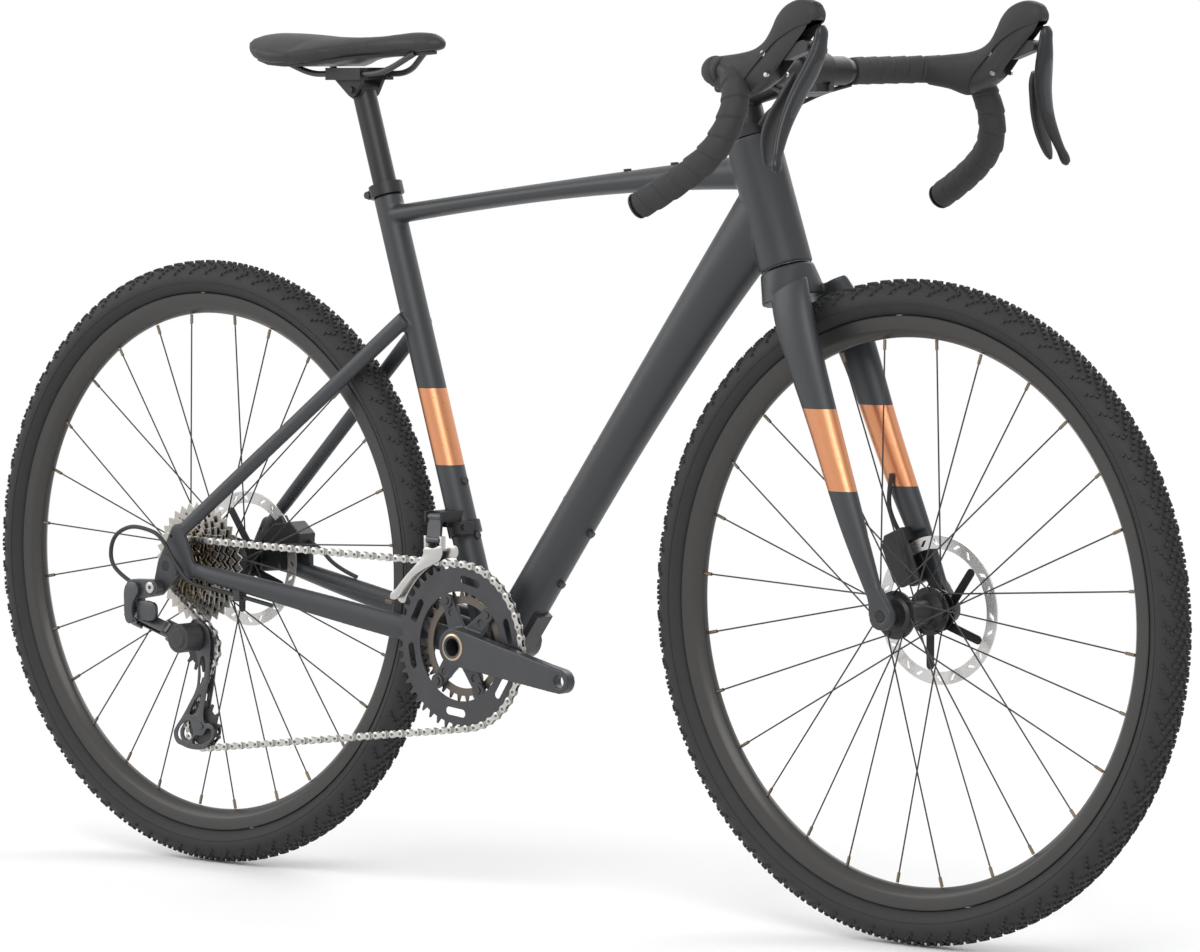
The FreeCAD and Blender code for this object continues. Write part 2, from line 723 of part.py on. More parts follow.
def solve_cage():
    """Cage angle at which the chain closes on a whole, even number of links."""
    def total(turn):
        return sum(piece[2] for piece in chain_course(turn)[0])
    wanted = 2 * round(total(math.radians(0.5)) / 2)
    low, high = math.radians(-25), math.radians(25)
    rising = total(high) > total(low)
    for _ in range(60):
        middle = (low + high) / 2
        if (total(middle) < wanted) == rising:
            low = middle
        else:
            high = middle
    return (low + high) / 2, wanted


def chain_points(course, links):
    """Roller centres, and the angle of a roller on each of the four wheels."""
    planes = (cog_plane, ring_sides[0], cog_plane, cog_plane)
    points, phases = [], [None] * 4
    start, index = 0.0, 0
    for number, (kind, data, pitches) in enumerate(course):
        while index < links and index < start + pitches - 0.000001:
            share = (index - start) / pitches
            if kind == "arc":
                centre, teeth, begin, turning = data
                angle = begin + turning * (index - start) * 2 * math.pi / teeth
                if phases[number // 2] is None:
                    phases[number // 2] = angle
                radius = pitch_radius(teeth)
                place = vec(centre.x + radius * math.cos(angle), planes[number // 2],
                            centre.z + radius * math.sin(angle))
            else:
                share_in = min(max((share - 0.12) / 0.76, 0), 1)
                eased = share_in * share_in * (3 - 2 * share_in)
                side = planes[number // 2] + (planes[(number // 2 + 1) % 4] - planes[number // 2]) * eased
                place = data[0] + (data[1] - data[0]) * share
                place = vec(place.x, side, place.z)
            points.append(place)
            index += 1
        start += pitches
    return points, phases


def chain(points):
    """Roller chain: inner links with two rollers, outer links over them, laid along the points."""
    outline = ((-4.3, 0), (-2.1, -4.0), (chain_pitch + 2.1, -4.0), (chain_pitch + 4.3, 0),
               (chain_pitch + 2.1, 4.0), (-2.1, 4.0))
    near, mid = chain_inner_gap / 2, chain_inner_gap / 2 + chain_plate
    inner = [slab(outline, near, mid), slab(outline, -mid, -near)]
    for x in (0, chain_pitch):
        inner.append(hex_bar(vec(x, -near, 0), vec(x, near, 0), roller_radius))
    outer = [slab(outline, mid, mid + chain_plate), slab(outline, -mid - chain_plate, -mid)]
    links = []
    for i, here in enumerate(points):
        ahead = unit(points[(i + 1) % len(points)] - here)
        across_link = unit(side_left - ahead * ahead.y)
        up = ahead.cross(across_link)
        matrix = FreeCAD.Matrix(ahead.x, across_link.x, up.x, here.x, ahead.y, across_link.y, up.y, here.y,
                                ahead.z, across_link.z, up.z, here.z, 0, 0, 0, 1)
        for solid in (outer if i % 2 else inner):
            placed = solid.copy()
            placed.Placement = FreeCAD.Placement(matrix)
            links.append(placed)
    return links


def pulley(centre, phase):
    low, high = cog_plane - cage_gap + 0.4, cog_plane + cage_gap - 0.4
    body = toothed(centre, pulley_teeth, phase, cog_plane, pulley_thickness)
    body = body.fuse(across(centre.x, centre.z, low, high, 7.5))
    return body.cut(across(centre.x, centre.z, low - 1, high + 1, pulley_pin_radius + running_clearance))


def cassette(phase):
    """Eleven cogs on the freehub sleeve, with the lockring at the small end."""
    low = -rear_spacing / 2 + face_gap
    high = rear_right_flange - 5.3
    bore = axle_radius + running_clearance
    sleeve = turned(rear.x, rear.z, [
        (bore, low), (end_cap_radius, low), (end_cap_radius, first_cog_side - 3),
        (freehub_radius, first_cog_side - 3), (freehub_radius, high), (bore, high)])
    solids = [sleeve, ring(rear.x, rear.z, first_cog_side - 2.6, first_cog_side - cog_thickness / 2,
                           freehub_radius + 2.2, freehub_radius)]
    for i, teeth in enumerate(cog_teeth):
        side = first_cog_side + i * cog_spacing
        if i == cog_in_use:
            plate = toothed(rear, teeth, phase, side, cog_thickness)
        else:
            plate = toothed(rear, teeth, 0.3 * i, side, cog_thickness, idle_tooth_shape)
        solids.append(plate.cut(across(rear.x, rear.z, side - 2, side + 2, freehub_radius)))
        if i:
            near, far = side - cog_spacing + cog_thickness / 2, side - cog_thickness / 2
            solids.append(ring(rear.x, rear.z, near, far, freehub_radius + 2.2, freehub_radius))
    return solids


def arm_at(turn, radius):
    """Point at a radius from the crank axis, turned from the right crank arm."""
    angle = math.radians(turn - crank_droop)
    return shell.x + radius * math.cos(angle), shell.z + radius * math.sin(angle)


def chainrings(phase):
    """Two rings with their bolts; each ring is bolted to the spider through its own circle of holes."""
    low, high = ring_sides[0] - ring_thickness / 2, ring_sides[0] + ring_thickness / 2
    big = toothed(shell, ring_teeth[0], phase, ring_sides[0], ring_thickness)
    big = big.cut(across(shell.x, shell.z, low - 1, high + 1, bolt_circle_radius + 7))
    for turn in (-87, -25, 25, 87, 160, 200):
        x0, z0 = arm_at(turn - 8, 76.0)
        x1, z1 = arm_at(turn + 8, 76.0)
        big = big.cut(belt([(x0, z0, 4.5), (x1, z1, 4.5)], low - 1, high + 1))
    small_low, small_high = ring_sides[1] - ring_thickness / 2, ring_sides[1] + ring_thickness / 2
    small = toothed(shell, ring_teeth[1], phase, ring_sides[1], ring_thickness)
    small = small.cut(across(shell.x, shell.z, small_low - 1, small_high + 1, small_bolt_circle_radius + 8))
    bolts = []
    for turn in spider_angles:
        x, z = arm_at(turn, bolt_circle_radius)
        big = big.fuse(across(x, z, low, high, 8.5)).cut(across(x, z, low - 1, high + 1, ring_bolt_radius))
        bolts.append(across(x, z, low - 1.2, spider_inner, ring_bolt_radius))
        x, z = arm_at(turn, small_bolt_circle_radius)
        small = small.fuse(across(x, z, small_low, small_high, 8.5))
        small = small.cut(across(x, z, small_low - 1, small_high + 1, ring_bolt_radius))
        bolts.append(across(x, z, spider_outer + 1.2, small_high + 1.2, ring_bolt_radius))
    return [big, small] + bolts


def crank_arm():
    """Right arm lying along +X from the crank axis: an outline cut to a bowed plan."""
    outline = belt([(0, 0, 21.0), (crank_length, 0, 13.5)], -pedal_face - 5, -spider_inner_gap)
    plan = polygon([vec(-30, -crank_face, -40), vec(15, -crank_face, -40),
                    vec(crank_length - 15, -pedal_face, -40), vec(crank_length + 20, -pedal_face, -40),
                    vec(crank_length + 20, -pedal_face + pedal_thread_length, -40),
                    vec(crank_length - 20, -pedal_face + pedal_thread_length, -40),
                    vec(30, -crank_face + 12, -40), vec(22, -spider_inner_gap, -40),
                    vec(-30, -spider_inner_gap, -40)]).extrude(vec(0, 0, 80))
    arm = outline.common(plan)
    return arm.cut(across(crank_length, 0, -pedal_face - 1, -crank_face + 12, pedal_thread_radius))


def cranks():
    spindle_end = crank_face - 1
    arm = crank_arm()
    arm.rotate(vec(0, 0, 0), side_left, crank_droop)
    arm.translate(vec(shell.x, 0, shell.z))
    spider = []
    for turn in spider_angles:
        x, z = arm_at(turn, bolt_circle_radius)
        spider.append(belt([(shell.x, shell.z, 14.0), (x, z, 7.5)], spider_outer, spider_inner))
    right = fused([arm] + spider)
    for turn in spider_angles:
        for radius in (bolt_circle_radius, small_bolt_circle_radius):
            x, z = arm_at(turn, radius)
            right = right.cut(across(x, z, -crank_face, 0, ring_bolt_radius))
    right = right.cut(across(shell.x, shell.z, -crank_face - 20, 0, spindle_radius))
    right = right.cut(across(shell.x, shell.z, -spider_inner_gap, 0, cup_radius + 1.5))
    spindle = ring(shell.x, shell.z, -spindle_end, spindle_end, spindle_radius, spindle_bore)
    collar = ring(shell.x, shell.z, -crank_face - 1.2, -crank_face, spindle_radius + 2.5, spindle_bore)
    keep("crank_right", [right, spindle, collar])
    left = crank_arm()
    left.rotate(vec(0, 0, 0), vec(0, 0, 1), 180)
    left.rotate(vec(0, 0, 0), side_left, crank_droop)
    left.translate(vec(shell.x, 0, shell.z))
    left = left.cut(across(shell.x, shell.z, 0, crank_face + 20, spindle_radius + running_clearance))
    keep("crank_left", [left])
    cups = []
    for sign in (-1, 1):
        near, far = sign * shell_width / 2, sign * (shell_width / 2 + cup_width)
        inside = sign * (shell_width / 2 - 12)
        bore = spindle_radius + running_clearance
        cups.append(turned(shell.x, shell.z, [(bore, inside), (shell_bore, inside), (shell_bore, near),
                                              (cup_radius, near), (cup_radius, far), (bore, far)]))
    keep("bottom_bracket_cups", cups)


def linkage_box(corner, u_range, w_range, a_range):
    """Box in the directions of the derailleur's links: along them, between them and along their pins."""
    def at(u, w):
        return corner + link_u * u + link_w * w + link_a * a_range[0]
    face = polygon([at(u_range[0], w_range[0]), at(u_range[1], w_range[0]),
                    at(u_range[1], w_range[1]), at(u_range[0], w_range[1])])
    return face.extrude(link_a * (a_range[1] - a_range[0]))


def pin(centre, half_length, radius):
    return rod(centre - link_a * half_length, centre + link_a * half_length, radius)


def lugs(corner, facing):
    """Pair of lugs on a spine that holds both pivot pins of a knuckle; facing is the spine's side."""
    near = link_half_width + lug_gap
    far = near + lug_thickness
    w_range = (-link_eye_radius - 0.8, link_spread + link_eye_radius + 0.8)
    spine_range = sorted((facing * 5.6, facing * 13.0))
    lug_range = sorted((0.0, facing * 13.0))
    solids = [linkage_box(corner, spine_range, w_range, (-far, far))]
    for side in ((-far, -near), (near, far)):
        solids.append(linkage_box(corner, lug_range, w_range, side))
        for pivot in (corner, corner + second_pivot):
            solids.append(rod(pivot + link_a * side[0], pivot + link_a * side[1], link_eye_radius + 0.8))
    return solids, far


def swept_room(corner, facing):
    """Room that the two links need between a knuckle's lugs over their whole swing."""
    u_range = sorted((-facing * 60.0, facing * 5.2))
    w_range = (-25.0, 70.0) if facing < 0 else (-70.0, 40.0)
    half = link_half_width + lug_gap
    return linkage_box(corner, u_range, w_range, (-half, half))


def link(start, end, loose):
    length = (end - start).Length
    bar = linkage_box(start, (0, length), (-link_half_thickness, link_half_thickness),
                      (-link_half_width, link_half_width))
    eyes = [pin(place, link_half_width, link_eye_radius) for place in (start, end)]
    bar = fused([bar] + eyes)
    bar = bar.cut(pin(start, link_half_width + 1, link_pin_radius + running_clearance))
    return bar.cut(pin(end, link_half_width + 1, link_pin_radius + loose))


def rear_derailleur():
    top_x, top_z = rear.x - 42.0, rear.z - 29.0
    plate = belt([(top_x, top_z, 12.0), (rear.x + b_pivot[0], rear.z + b_pivot[1], 10.0)],
                 hanger_outer - 13.0, hanger_outer)
    neck = rod(vec(top_x, hanger_outer - 7, top_z - 3), rear + vec(-46, -82, -48), 9.0)
    holders, far = lugs(upper_pivot, -1)
    knuckle = fused([plate, neck] + holders).cut(swept_room(upper_pivot, -1))
    knuckle = fused([largest(knuckle), pin(upper_pivot, far, link_pin_radius),
                     pin(upper_pivot + second_pivot, far, link_pin_radius)])
    bolt = across(rear.x + b_pivot[0], rear.z + b_pivot[1], hanger_outer - 15.0, hanger_outer - 13.0, 7.0)
    keep("rear_derailleur_knuckle", [knuckle, bolt])
    keep("rear_derailleur_outer_link", [link(upper_pivot, lower_pivot, running_clearance)])
    keep("rear_derailleur_inner_link", [link(upper_pivot + second_pivot, lower_pivot + second_pivot, 0.1)])

    holders, far = lugs(lower_pivot, 1)
    housing = across(cage_pivot.x, cage_pivot.z, clutch_sides[0], clutch_sides[1], clutch_radius)
    cap = across(cage_pivot.x, cage_pivot.z, clutch_sides[0] - 2, clutch_sides[0], clutch_radius - 6)
    body = fused([housing, cap] + holders).cut(swept_room(lower_pivot, 1))
    plate_outer = cog_plane - cage_gap - cage_plate
    body = body.cut(block(rear.x - 80, rear.x + 120, plate_outer - 0.7, 0, rear.z - 200, rear.z))
    body = fused([largest(body), pin(lower_pivot, far, link_pin_radius),
                  pin(lower_pivot + second_pivot, far, link_pin_radius)])
    shaft_end = clutch_sides[0] + 12.0
    body = body.cut(across(cage_pivot.x, cage_pivot.z, shaft_end - 0.4, 0,
                           cage_shaft_radius + running_clearance))
    keep("rear_derailleur_p_knuckle", [largest(body)])

    solids = []
    for low in (plate_outer, cog_plane + cage_gap):
        plate = belt([(tension_centre.x, tension_centre.z, 15.0), (cage_pivot.x, cage_pivot.z, 13.0)],
                     low, low + cage_plate)
        run = tension_centre - cage_pivot
        first, last = cage_pivot + run * 0.36, cage_pivot + run * 0.72
        window = belt([(last.x, last.z, 7.0), (first.x, first.z, 5.5)], low - 1, low + cage_plate + 1)
        solids.append(plate.cut(window))
    for centre in (guide_centre, tension_centre):
        solids.append(across(centre.x, centre.z, plate_outer - 1.0, cog_plane + cage_gap + cage_plate,
                             pulley_pin_radius))
    solids.append(across(cage_pivot.x, cage_pivot.z, shaft_end, plate_outer, cage_shaft_radius))
    keep("rear_derailleur_cage", [fused(solids)])


def sector(radii, angles, y_low, y_high):
    """Part of a flat ring round the crank axis."""
    def at(radius, degrees):
        return vec(shell.x + radius * math.cos(math.radians(degrees)), y_low,
                   shell.z + radius * math.sin(math.radians(degrees)))
    middle = (angles[0] + angles[1]) / 2
    edges = [Part.Arc(at(radii[1], angles[0]), at(radii[1], middle), at(radii[1], angles[1])).toShape(),
             Part.makeLine(at(radii[1], angles[1]), at(radii[0], angles[1])),
             Part.Arc(at(radii[0], angles[1]), at(radii[0], middle), at(radii[0], angles[0])).toShape(),
             Part.makeLine(at(radii[0], angles[0]), at(radii[1], angles[0]))]
    return Part.Face(Part.Wire(edges)).extrude(vec(0, y_high - y_low, 0))


def lengthwise(x_low, x_high, y, z, radius):
    return Part.makeCylinder(radius, x_high - x_low, vec(x_low, y, z), vec(1, 0, 0))


def front_derailleur():
    """Band with a fixed body, one swinging link, and the cage hung from it."""
    centre = shell + seat_up * band_up_seat
    half = seat_up * (band_height / 2)
    band = rod(centre - half, centre + half, seat_tube_radius + band_thickness)
    x_low, x_high = centre.x - fd_half_width - 6, centre.x + fd_half_width - 6
    y_pin, z_pin = fd_pivot[0], shell.z + fd_pivot[1]
    y_end, z_end = fd_lower_pivot[0], shell.z + fd_lower_pivot[1]
    lug = 3.6
    body = block(x_low - lug, x_high + lug, y_pin + 5, -8, z_pin - 12, z_pin + 6)
    sides = []
    for x in (x_low - lug, x_high + 0.4):
        sides.append(block(x, x + lug - 0.4, y_pin - 5, y_pin + 6, z_pin - 6, z_pin + 6))
    seat_hole = rod(shell, seat_top, seat_tube_radius)
    mount = fused([band, body] + sides).cut(seat_hole)
    mount = fused([largest(mount), lengthwise(x_low - lug, x_high + lug, y_pin, z_pin, fd_pin_radius)])
    clamp_bolt = lengthwise(centre.x + 8, centre.x + 24, -seat_tube_radius - 8.5, centre.z + 4, 3.0)
    ear = block(centre.x + 10, centre.x + 22, -seat_tube_radius - 14, -8, centre.z - 4, centre.z + 10)
    ear = ear.cut(seat_hole).cut(clamp_bolt).cut(mount)
    keep("front_derailleur_mount", [mount, largest(ear), clamp_bolt.cut(mount)])

    eyes = [lengthwise(x_low, x_high, y_pin, z_pin, 4.0), lengthwise(x_low, x_high, y_end, z_end, 4.0)]
    web = polygon([vec(x_low, y_pin - 2, z_pin), vec(x_low, y_pin + 2, z_pin),
                   vec(x_low, y_end + 2, z_end), vec(x_low, y_end - 2, z_end)])
    swing = fused([web.extrude(vec(x_high - x_low, 0, 0))] + eyes)
    for y, z in ((y_pin, z_pin), (y_end, z_end)):
        swing = swing.cut(lengthwise(x_low - 1, x_high + 1, y, z, fd_pin_radius + running_clearance))
    keep("front_derailleur_link", [swing])

    outer = sector(fd_cage_radii, fd_cage_angles, fd_outer_side, fd_outer_side + fd_plate)
    inner = sector(fd_cage_radii, fd_cage_angles, fd_inner_side - fd_plate, fd_inner_side)
    top = sector((fd_cage_radii[1] - 3, fd_cage_radii[1]), (97, 108), fd_outer_side, fd_inner_side)
    end = sector((fd_cage_radii[1] - 5, fd_cage_radii[1]), (fd_cage_angles[1] - 4, fd_cage_angles[1]),
                 fd_outer_side, fd_inner_side)
    solids = [outer, inner, top, end]
    for x in (x_low - lug, x_high + 0.4):
        solids.append(block(x, x + lug - 0.4, fd_inner_side - fd_plate, y_end + 4, shell.z + 96, z_end + 4))
    solids.append(lengthwise(x_low - lug, x_high + lug, y_end, z_end, fd_pin_radius))
    keep("front_derailleur_cage", [fused(solids)])


def closed(points):
    return Part.Wire(Part.makePolygon(points + [points[0]]).Edges)


def seat():
    """Seatpost, clamp that tilts on its cross bolt, and the saddle that slides in the clamp's jaws."""
    pivot = saddle_pivot
    half = clamp_head_half_width
    post = rod(pivot - seat_up * (post_length + 4), pivot - seat_up * 4, post_radius)
    post = post.fuse(across(pivot.x, pivot.z, -half, half, clamp_head_radius))
    post = post.cut(across(pivot.x, pivot.z, -half - 1, half + 1, clamp_bolt_radius + running_clearance))
    keep("seatpost", [post])

    line = [pivot + vec(*point) for point in rail_line]
    left_rail = bent_rod(line, rail_radius)
    rails = [left_rail, mirrored(left_rail)]
    rail_side, rail_height = line[1].y, line[1].z
    x_low, x_high = pivot.x + jaw_x[0], pivot.x + jaw_x[1]
    grip = lengthwise(x_low - 1, x_high + 1, rail_side, rail_height, rail_radius + running_clearance)
    jaw_low, jaw_high = rail_height - jaw_half_height, rail_height + jaw_half_height
    jaw = block(x_low, x_high, half + 1.4, rail_side + 6, jaw_low, jaw_high)
    hanger = belt([(pivot.x, pivot.z, 8.5), (x_high - 8, rail_height, 6.0), (x_low + 8, rail_height, 6.0)],
                  half + 0.4, half + 5.4)
    left_side = jaw.fuse(hanger).cut(grip)
    bolt = across(pivot.x, pivot.z, -half - 9, half + 9, clamp_bolt_radius)
    keep("saddle_clamp", [fused([left_side, mirrored(left_side), bolt])])

    covers, bases = [], []
    for x, wide, top, middle, bottom in saddle_sections:
        def at(side, height):
            return pivot + vec(x, side, height)
        low = wide - saddle_tuck if wide > 2 * saddle_tuck else wide * 0.6
        covers.append(Part.Wire([
            Part.makeLine(at(-low, bottom), at(-wide, middle)),
            Part.Arc(at(-wide, middle), at(0, top), at(wide, middle)).toShape(),
            Part.makeLine(at(wide, middle), at(low, bottom)),
            Part.makeLine(at(low, bottom), at(-low, bottom))]))
        under = max(low - base_inset, 2.0)
        bases.append(closed([at(-under, bottom), at(under, bottom), at(under - 1, bottom - base_thickness),
                             at(-under + 1, bottom - base_thickness)]))
    cover = loft(covers, True)
    base = loft(bases[2:-2], True)
    for rail in rails:
        cover = cover.cut(rail)
        base = base.cut(rail)
    keep("saddle_cover", [largest(cover)])
    keep("saddle_base", [largest(base)])
    keep("saddle_rails", rails)


def fork():
    """Steerer, crown and two legs with their ends, made as one piece."""
    steerer_top = head_top + steer_up * (stack_height + stem_height - 3)
    steerer = rod(crown - steer_up * 20, steerer_top, steerer_radius)
    race = rod(crown - steer_up * 5, head_low + steer_up * bearing_height, seat_race_radius)
    shoulder = loft([oval(crown, steer_up, side_left, head_tube_radius, head_tube_radius),
                     oval(crown - steer_up * 16, steer_up, side_left, 36.0, 30.0),
                     oval(crown - steer_up * 36, steer_up, side_left, 47.0, 27.0)])
    sections = []
    reach = crown - front
    before = unit(side_left.cross(reach))
    for share, ahead, side, depth, width in fork_sections:
        where = front + reach * share + before * ahead + side_left * side
        sections.append(oval(where, reach * -1, side_left, width, depth))
    leg = loft(sections)
    inner = front_spacing / 2
    end = belt([(front.x, front.z, fork_end_radius), (front.x - 8, front.z + 22, 9.0)],
               inner, inner + fork_end_thickness)
    end = end.cut(across(front.x, front.z, inner - 1, inner + 20, axle_radius + running_clearance))
    room_side = tyre_width / 2 + tyre_side_room
    room = across(front.x, front.z, -room_side, room_side, tyre_radius + tyre_room)
    hub_room = across(front.x, front.z, inner - 20, inner, 90.0)
    leg = leg.cut(hub_room).cut(across(front.x, front.z, 0, inner + 30, axle_radius + running_clearance))
    left = largest(leg.fuse(end))
    body = fused([shoulder, steerer, race, left, mirrored(left)]).cut(room)
    return largest(body)


def steering_parts():
    body = fork()
    keep("fork", [body])
    low_bearing = pipe(head_low, head_low + steer_up * bearing_height, bearing_radius, bearing_bore)
    top_bearing = pipe(head_top - steer_up * bearing_height, head_top, bearing_radius, bearing_bore)
    keep("headset_bearings", [low_bearing, top_bearing])

    hole = rod(crown, head_top + steer_up * 200, steerer_radius)
    cone_low = head_top + steer_up * 0.4
    wedge = pipe(head_top - steer_up * bearing_height, cone_low, seat_race_radius, steerer_radius)
    cone = Part.makeCone(head_tube_radius - 0.5, 22.0, 13.0, cone_low, steer_up).cut(hole)
    spacers = [cone, wedge]
    for low, high in ((13.4, 23.2), (23.2, stack_height)):
        spacers.append(pipe(head_top + steer_up * low, head_top + steer_up * high, 20.0, steerer_radius))
    stem_top = head_top + steer_up * (stack_height + stem_height)
    spacers.append(rod(stem_top, stem_top + steer_up * 4, cap_radius))
    spacers.append(rod(stem_top + steer_up * 4, stem_top + steer_up * 6.5, 4.5))
    keep("headset_spacers", spacers)

    middle = head_top + steer_up * (stack_height + stem_height / 2)
    rise = math.radians(stem_rise)
    ahead = vec(math.cos(rise), 0, math.sin(rise))
    bar_centre = middle + ahead * stem_length
    half = steer_up * (stem_height / 2)
    clamp = rod(middle - half, middle + half, stem_radius)
    arm = loft([oval(middle, ahead, side_left, 17.0, 19.0),
                oval(bar_centre - ahead * 15, ahead, side_left, 17.0, 17.5)])
    ring_part = across(bar_centre.x, bar_centre.z, -clamp_half_width, clamp_half_width, clamp_outer_radius)
    bar_hole = across(bar_centre.x, bar_centre.z, -60, 60, bar_clamp_radius + running_clearance)
    steer_hole = rod(middle - half * 2, middle + half * 2, steerer_radius + running_clearance)
    up = vec(-ahead.z, 0, ahead.x)
    split = bar_centre + ahead * 2.0
    front_room = prism(split, split + ahead * 40, up, 60.0, 60.0)
    back_room = prism(split - ahead * 200, split + ahead * faceplate_gap, up, 60.0, 60.0)
    ears = []
    for sign in (-1, 1):
        root = bar_centre + up * (sign * (clamp_outer_radius - 1.5))
        ears.append(prism(root - ahead * 16, root + ahead * 11, up, 6.0, clamp_half_width))
    pinch_back = stem_radius - 0.5
    for low in (-12.0, 12.0):
        root = middle + steer_up * low - steer_ahead * pinch_back
        ears.append(rod(root - side_left * pinch_half, root + side_left * pinch_half, 5.5))
    whole = fused([clamp, arm, ring_part] + ears).cut(bar_hole).cut(steer_hole)
    shafts, heads, holes = [], [], []
    for sign in (-1, 1):
        for side in (-1, 1):
            root = bar_centre + up * (sign * (clamp_outer_radius + 0.5)) + side_left * (side * 15.0)
            shafts.append(rod(root - ahead * 12, root + ahead * 11, small_bolt_radius))
            heads.append(rod(root + ahead * 11, root + ahead * 15, small_head_radius))
            holes.append(rod(root - ahead * 12.2, root + ahead * 11, small_bolt_radius + bolt_room))
            holes.append(rod(root + ahead * 11, root + ahead * 20, small_head_radius + bolt_room))
    for low in (-12.0, 12.0):
        root = middle + steer_up * low - steer_ahead * pinch_back
        half = side_left * pinch_half
        shafts.append(rod(root - half, root + half, small_bolt_radius))
        heads.append(rod(root + half, root + half * 1.27, small_head_radius))
        holes.append(rod(root - half * 2, root + half * 2, small_bolt_radius + bolt_room))
        holes.append(rod(root + half, root + half * 2, small_head_radius + bolt_room))
    for hole in holes:
        whole = whole.cut(hole)
    keep("stem", [largest(whole.cut(front_room))])
    keep("stem_faceplate", [largest(whole.cut(back_room))])
    keep("stem_bolts", [fused([shaft, head]) for shaft, head in zip(shafts, heads)])
    return body, bar_centre


def bar_path(centre):
    """Centre line of the handlebar's right half, from beside the stem to its end."""
    points = [vec(centre.x, -bar_clear - 14, centre.z)]
    for side, x, z in bar_line:
        points.append(centre + vec(x, -side, z))
    return points


def along_path(wire, start, end, step):
    """Places and directions along a wire between two shares of its length."""
    samples = wire.discretize(801)
    first, last = int(start * 800), int(end * 800)
    count = max(int(round((last - first) * wire.Length / 800 / step)), 1)
    places = []
    for i in range(count + 1):
        index = first + (last - first) * i // count
        before, after = samples[max(index - 1, 0)], samples[min(index + 1, 800)]
        places.append((samples[index], after - before))
    return places


def wrapped(wire, hole, start, end):
    """Tape wound round the bar, each turn standing a little over the one before it."""
    cover = []
    for i, (where, ahead) in enumerate(along_path(wire, start, end, wrap_length)):
        high = oval(where, ahead, vec(0.3, 0.2, 1), tape_radius, tape_radius)
        back = where - unit(ahead) * 0.7
        low = oval(back, ahead, vec(0.3, 0.2, 1), tape_radius - tape_step, tape_radius - tape_step)
        cover += [high] if i == 0 else [low, high]
    return largest(loft(cover[:-1], True).cut(hole))


def handlebar(centre):
    points = bar_path(centre)
    wire = route(points)
    right = bent_rod(points, bar_radius)
    x, z = centre.x, centre.z
    neck = Part.makeCone(bar_radius, bar_clamp_radius, 14.0, vec(x, -bar_clear - 14, z), side_left)
    middle = across(x, z, -bar_clear, bar_clear, bar_clamp_radius)
    bar = fused([right, neck, middle, mirrored(neck), mirrored(right)])
    tip = points[-1]
    outward = unit(points[-1] - points[-2])
    plug = rod(tip, tip + outward * 2.5, tape_radius - 1.5)
    keep("handlebar", [bar, plug, mirrored(plug)])
    hole = bent_rod(points, bar_radius + tape_gap)
    tape = [wrapped(wire, hole, 0.002, tape_shares[0]), wrapped(wire, hole, tape_shares[1], 0.995)]
    keep("bar_tape", tape + [mirrored(one) for one in tape])
    return hole


def controls(centre, bar_room):
    """Rubber hoods with the brake pivots, and the carrier, lever and paddle of each side."""
    sections = []
    for x, y, z, along_x, along_z, wide, high in hood_sections:
        sections.append(oval(centre + vec(x, y, z), vec(along_x, 0, along_z), side_left, wide, high))
    hood = loft(sections)
    hood = hood.cut(bar_room)
    outline = [(centre.x + x, centre.z + z) for x, z in lever_slot]
    slot = slab(outline, lever_slot_sides[0], lever_slot_sides[1])
    hood = largest(hood.cut(slot))
    pivot = centre + vec(brake_pivot[0], 0, brake_pivot[1])
    brake_pin = across(pivot.x, pivot.z, lever_slot_sides[0] - 4, lever_slot_sides[1] + 4, brake_pin_radius)
    hood = fused([hood, brake_pin])
    keep("lever_hoods", [hood, mirrored(hood)])

    front_x = centre.x + carrier_end[0]
    carrier = belt([(pivot.x, pivot.z, 6.5), (front_x, centre.z + carrier_end[1], carrier_end[2])],
                   carrier_sides[0], carrier_sides[1])
    carrier = carrier.cut(across(pivot.x, pivot.z, -300, 0, brake_pin_radius + running_clearance))
    y, z = lever_pivot[0], centre.z + lever_pivot[1]
    end_x = centre.x + lever_pin_end
    carrier = fused([carrier, lengthwise(front_x, end_x, y, z, lever_pin_radius)])

    sections = []
    for x, side, height, wide, thick in lever_sections:
        sections.append(oval(centre + vec(x, side, height), vec(0.15, 0.3, 1), side_left, wide, thick))
    lever = loft(sections)
    face = front_x + carrier_end[2] + 1
    lever = lever.fuse(lengthwise(face, end_x - 1, y, z, lever_eye_radius))
    lever = lever.cut(lengthwise(face - 10, end_x + 10, y, z, lever_pin_radius + running_clearance))
    py, pz = paddle_pivot[0], centre.z + paddle_pivot[1]
    back_x, eye_x, root_x = (centre.x + x for x in paddle_pin_x)
    lever = fused([lever, lengthwise(back_x, root_x, py, pz, lever_pin_radius)])

    sections = []
    for x, side, height, wide, thick in paddle_sections:
        sections.append(oval(centre + vec(x, side, height), vec(0.1, 0.4, 1), side_left, wide, thick))
    paddle = fused([loft(sections), lengthwise(back_x + 1, eye_x, py, pz, paddle_eye_radius)])
    paddle = paddle.cut(lengthwise(back_x - 5, back_x + 40, py, pz, lever_pin_radius + running_clearance))
    for name, shape in (("lever_carrier", carrier), ("brake_lever", lever), ("shift_paddle", paddle)):
        keep(name + "_right", [shape])
        keep(name + "_left", [mirrored(shape)])


